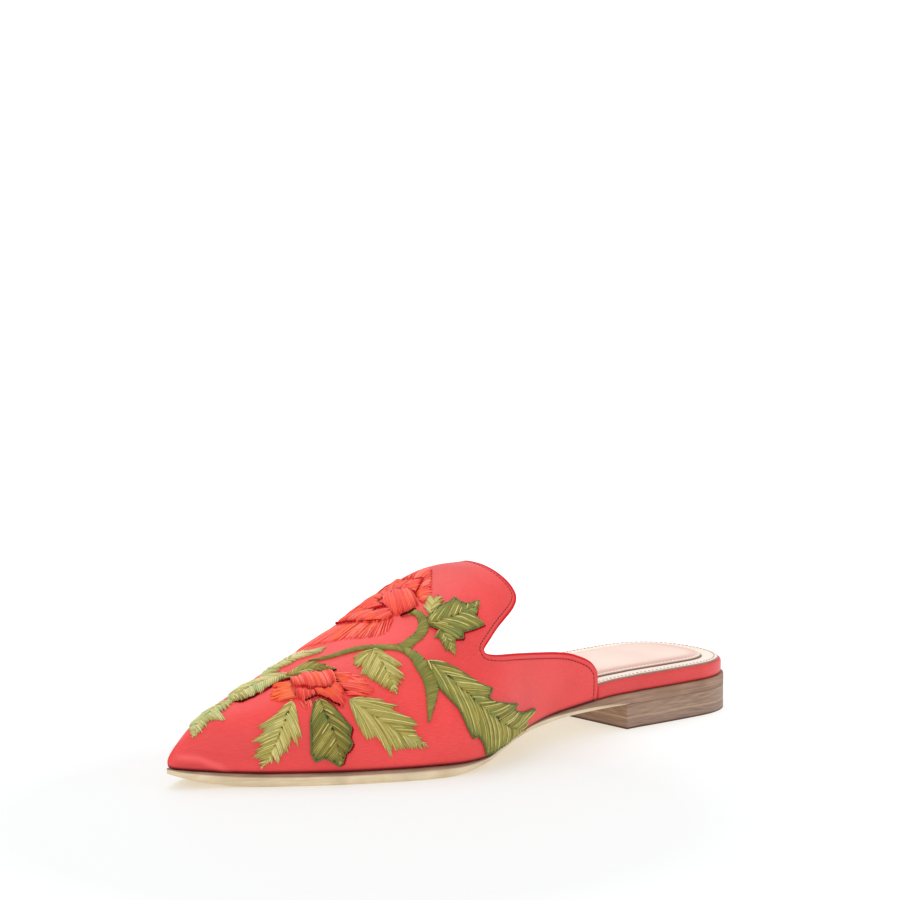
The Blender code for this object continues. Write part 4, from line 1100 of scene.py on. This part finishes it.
BLOSSOMS = [
    # node, thread rows: start line, end line, pad, root, belly, tone
    ("petal_low_left", [
        ([(217, 39.2), (218.2, 35.4), (219.4, 31)], [(220.3, 39.6), (222.6, 34.6), (224.6, 29.8)],
         1.3, .7, .3, .75)]),
    ("petal_low_right", [
        ([(203, 42.6), (204, 37.8), (203.2, 32.8)], [(197.5, 37), (194, 31.8), (198.5, 31)],
         1.5, .7, .4, .5)]),
    ("petal_low_centre", [
        ([(217.5, 35), (215, 34.2), (212.5, 33.6)], [(219, 30.8), (218, 28.6), (213, 31)], 1.9, .8, .4, .4),
        ([(212.5, 34.4), (208.5, 34), (204.8, 36.6)],
         [(212.3, 30.9), (209, 27.3), (206.3, 25.8), (204.8, 28.6), (203.6, 33.4)],
         1.9, .8, .4, .45)]),
    ("petal_low_fold", [
        ([(216, 41.8), (209, 43.8), (202.5, 43.4)],
         [(217, 37.1), (213.5, 35.2), (209.5, 34.6), (204.5, 35.6)],
         2.5, .5, .55, .6)]),
    ("petal_top_far", [
        ([(160, 87.4), (164, 88.3), (167.5, 89.1)], [(162, 100.3), (167, 102.6), (172, 98)],
         0.8, .7, .5, .5)]),
    ("petal_top_inner", [
        ([(152, 89.6), (156, 90.3), (160, 90.3)], [(148, 99.8), (152, 103.1), (157, 101.3)],
         0.6, .7, .5, .5)]),
    ("petal_top_rear", [
        ([(164.5, 85), (161.5, 85.2), (158.5, 84.2)], [(163.5, 90), (158.5, 92), (154, 92.8), (153, 89.4)],
         0.8, .7, .4, .5),
        ([(158.5, 85), (157, 83), (156, 78.8)],
         [(153.6, 89), (150.2, 85.6), (148.6, 82.2), (151, 79.4), (155, 77)],
         1.3, .7, .4, .55)]),
    ("petal_top_crest", [
        ([(163, 90.3), (165, 85.2), (167, 78.6)], [(168, 90.6), (171, 86.6), (172.3, 81)],
         1.2, .7, .5, .55),
        ([(170.5, 85.5), (171, 81.5), (171.5, 78.8)], [(175, 87), (178.4, 83.4), (180, 79)],
         1.2, .7, .5, .5)]),
    ("petal_top_front", [
        ([(171.8, 79), (170.8, 77), (170, 75.6)], [(179.5, 83.4), (180.2, 80.8), (177, 73.9)],
         1.7, .7, .5, .55),
        ([(167.2, 74.6), (168, 71.6), (169, 69.4)], [(175.5, 75.4), (177.3, 73.2), (175.5, 69.5), (172, 68)],
         1.7, .7, .5, .5)]),
    ("petal_top_round", [
        ([(163.5, 83.8), (160, 85.9), (157.2, 83.3), (156, 79.3)],
         [(167.8, 76.1), (168, 69.1), (163.5, 67.6), (159, 70)],
         2.6, .45, .5, .5)])]

for seed, (name, petals) in enumerate(BLOSSOMS):
    shells = [block(smooth(starts, 200), smooth(ends, 200), pad, 100 + seed * 3 + k, ragged=1.3, root=root,
                    belly=belly, tone=tone, pitch=0.44, spread=0.2, lumps=0.35)
              for k, (starts, ends, pad, root, belly, tone) in enumerate(petals)]
    dye = "tangerine" if name == "petal_low_left" else "coral"
    dress(sew(name + "_threads", shells), floss[dye], "thread_coral", name)

# dark serrated cords that shade the undersides of the raised petals and leaves: radius, tone, line
SHADOW_CORDS = [
    (0.26, 0.6, [(216.6, 38.5), (215.5, 36.8), (213, 35.4), (210, 34.9), (207.3, 34.9)]),
    (0.24, 0.5, [(207, 34.7), (205.2, 36.8), (204, 40.2)]),
    (0.32, 0.05, [(218, 28.8), (215.5, 29.8), (212.5, 30.6), (210.5, 29.4), (209, 27.5), (206.5, 25.8)]),
    (0.24, 0.5, [(206, 36.6), (203.8, 35.2), (204.6, 31.8), (205, 28.4)]),
    (0.26, 0.7, [(174.4, 87.4), (172.5, 86.9), (171, 86.2)]),
    (0.3, 0.5, [(172.6, 79), (170.5, 78.5), (169, 77.6), (167.2, 75.7), (167.5, 71.3)]),
    (0.34, 0.5, [(179.5, 84.5), (181.2, 78.4), (179.5, 76.3), (177.5, 74.4)]),
    (0.3, 0.5, [(177.5, 74.2), (176, 70.4), (173.5, 69.2), (171.6, 68.8)]),
    (0.4, 0.05, [(167.4, 68), (164.5, 67.1), (161.3, 68.3)]),
    (0.3, 0.4, [(166, 82.4), (167, 77.8), (167.5, 75.1), (167.6, 70)]),
    (0.22, 0.8, [(163, 88.9), (160, 91), (156.5, 92.6), (153.5, 93.7)]),
    (0.24, 0.6, [(162.6, 83.4), (160, 84.4), (157.5, 83.6), (156.4, 80.6), (156, 77.3), (157, 74.2)]),
    (0.26, 0.6, [(152, 84.6), (149.8, 84.1), (148.4, 81.9), (150.5, 80), (153, 78.4), (155.8, 76.6)]),
    (0.22, 0.7, [(155.7, 84.2), (154, 82.6), (154.4, 81)])]
for k, (radius, tone, line) in enumerate(SHADOW_CORDS):
    lift = 1.1 if line[0][0] < 183 else 1.3
    dress(cords("petal_shadow_cord_%02d" % k, [line], radius, (0.3, lift, lift, 0.3), taper=20, rings=34,
                ripple=0.5, tone=tone), floss["crimson"], "thread_coral")
dots = smooth([(140.5, 84.8), (144.5, 80.7), (147.5, 77.5), (150, 74.9)], 8)
dots = [[spot - (0.1, 0.45), spot, spot + (0.1, 0.45)] for spot in dots]
dress(cords("blossom_rear_dots", dots, 0.17, (0.15,), rings=5, sides=5, tone=0.8), floss["crimson"],
      "thread_coral")
under_leaves = [edge_line_of("leaf_low_middle", 0, 0.35), edge_line_of("leaf_crest_front", 0, 0.3),
                edge_line_of("leaf_throat", 1, 0.35), edge_line_of("leaf_calyx", 1, 0.3)]
dress(cords("leaf_shadow_cords", under_leaves, 0.45, (0.2,), taper=20, rings=90, ripple=0.4, tone=0.05),
      floss["crimson"], "thread_coral")


def loose_stitches(name, starts, ends, count, seed, radius, sag, ragged):
    """Long single stitches between two lines, at odd spacings and lengths, bowed up in the middle."""
    draw = np.random.default_rng(seed)
    share = np.clip(np.linspace(0, 1, count) + draw.uniform(-0.4, 0.4, count) / count, 0, 1)
    _, begin, end = threads_at(smooth(starts, 200), smooth(ends, 200), share)
    begin = begin + draw.uniform(-0.5, 0.5, begin.shape)
    end = end + unit(end - begin) * draw.uniform(-ragged, ragged * 0.5, (count, 1))
    lines = np.stack([begin, (begin + end) / 2, end], 1)
    return cords(name, lines, radius, (0.1, 0.25 + sag * 0.5, 0.2 + sag * 0.5, 0.0), rings=9, taper=12,
                 ripple=0.05)


for name, dye, count, seed, radius, sag, ragged, starts, ends in (
        ("blossom_front_rays", "coral", 80, 7, 0.24, 0.5, 2.0,
         [(181, 80.5), (179.5, 76.5), (177, 72.4), (173, 69), (169.5, 68.5)],
         [(200, 72.5), (196.5, 66), (190.5, 64.4), (184.5, 62), (179.5, 59.6), (175, 61.5)]),
        ("blossom_low_rays", "coral", 34, 11, 0.28, 1.6, 2.0,
         [(204.5, 42), (203.5, 38), (202.5, 33.5), (204, 31)],
         [(198, 41.8), (194.4, 37), (193.6, 32.4), (198.5, 29.6)]),
        ("blossom_orange_rays", "tangerine", 24, 12, 0.28, 1.2, 2.0,
         [(217.5, 38.5), (218.5, 35), (218, 31.5)], [(221.4, 40), (224.6, 34.6), (226.6, 29)]),
        ("blossom_low_tips", "coral", 9, 13, 0.22, 0.5, 2.0,
         [(218.3, 29.6), (214.6, 30.4)], [(218.6, 25.4), (215.4, 26)]),
        ("blossom_rear_rays", "coral", 60, 8, 0.26, 0.5, 1.0,
         [(158, 71.4), (155, 77), (150.5, 80.4), (149, 84), (150, 87.5), (153.5, 89.5)],
         [(156.5, 69.4), (150.5, 73.6), (147.3, 77.6), (144, 81.5), (139, 87.6), (144, 90.4),
          (149.5, 91.6)])):
    rays = loose_stitches(name, starts, ends, count, seed, radius, sag, ragged)
    dress(rays, floss[dye], "thread_coral")


# ---------------------------------------------------------------------------------------------- studio
# A pale seamless floor under a broad soft light from above, and the camera low in front of the toe.

CAMERA_AIM = place((132.4, -3.8, 0.0))
CAMERA_SIDE = np.array([0.6495, 0.7289, 0.2164])
CAMERA_DISTANCE = 1.3
CAMERA_PITCH = 5.03      # degrees the camera is raised from its aim, which places the shoe low in the frame

lens = bpy.data.cameras.new("camera")
lens.lens = 131.83
lens.sensor_width = 36.0
lens.clip_start = 0.05
camera = bpy.data.objects.new("camera", lens)
bpy.context.scene.collection.objects.link(camera)
camera.location = CAMERA_AIM + CAMERA_SIDE * CAMERA_DISTANCE
turn = Vector(-CAMERA_SIDE).to_track_quat("-Z", "Y") @ Quaternion((1, 0, 0), np.radians(CAMERA_PITCH))
camera.rotation_euler = turn.to_euler()
bpy.context.scene.camera = camera

sweep_radius = np.array([0, 0.3, 0.6, 1.0, 1.6, 2.4, 3.2, 3.6, 3.9, 4.1, 4.2])
sweep_height = np.array([0, 0, 0, 0, 0, 0, 0, 0.06, 0.22, 0.55, 1.0])
angle = np.linspace(0, 2 * np.pi, 65)
ring = np.stack([np.cos(angle), np.sin(angle), 0 * angle], -1)
sweep = ring * sweep_radius[:, None, None] + np.array([0, 0, 1.0]) * sweep_height[:, None, None]
floor = mesh_piece("floor", [(sweep - ORIGIN) * 1000], closed=False)

# a pale floor that glows by its own emission as well as taking the light from above, so that shadows on
# it stay faint and warm; the glow is dimmed near the shoe as a painted soft shadow
glowing_floor, tree, shader = new_material("glowing_floor_painted_shadow", Roughness=0.6, Specular_IOR_Level=0.05,
                                  Base_Color="#A2B5C5", Emission_Strength=1.0)
where = add(tree, "TexCoord", out="Object")
# painted soft shadow: the floor's glow is dimmed near the shoe
away = add(tree, "VectorMath", (0, where), (1, (0.11, 0.06, 0.0)), out="Value", operation="DISTANCE")
outside_painted_shadow = add(tree, "MapRange", Value=away, From_Min=0.12, From_Max=0.32)
feed(shader, Emission_Color=add(tree, "Mix", (0, outside_painted_shadow), (6, "#C4B39F"), (7, "#EEE7DF"), out=2,
                                data_type="RGBA"))
floor.data.materials.append(glowing_floor)

world = bpy.data.worlds.new("studio")
world.use_nodes = True
feed(world.node_tree.nodes["Background"], Color="#FFFFFF", Strength=0.72)
bpy.context.scene.world = world

for name, place_at, aim, size, watts in (
        ("top_light", (-0.1, -0.5, 1.5), (0, 0, 0), 1.5, 11.0),
        ("front_light", (1.3, 0.9, 1.0), (0, 0, 0.03), 0.9, 4.0)):
    lamp = bpy.data.lights.new(name, "AREA")
    lamp.shape = "SQUARE"
    lamp.size = size
    lamp.energy = watts
    light = bpy.data.objects.new(name, lamp)
    bpy.context.scene.collection.objects.link(light)
    light.location = place_at
    light.rotation_euler = (Vector(aim) - Vector(place_at)).to_track_quat("-Z", "Y").to_euler()

bpy.context.scene.view_settings.view_transform = "Standard"
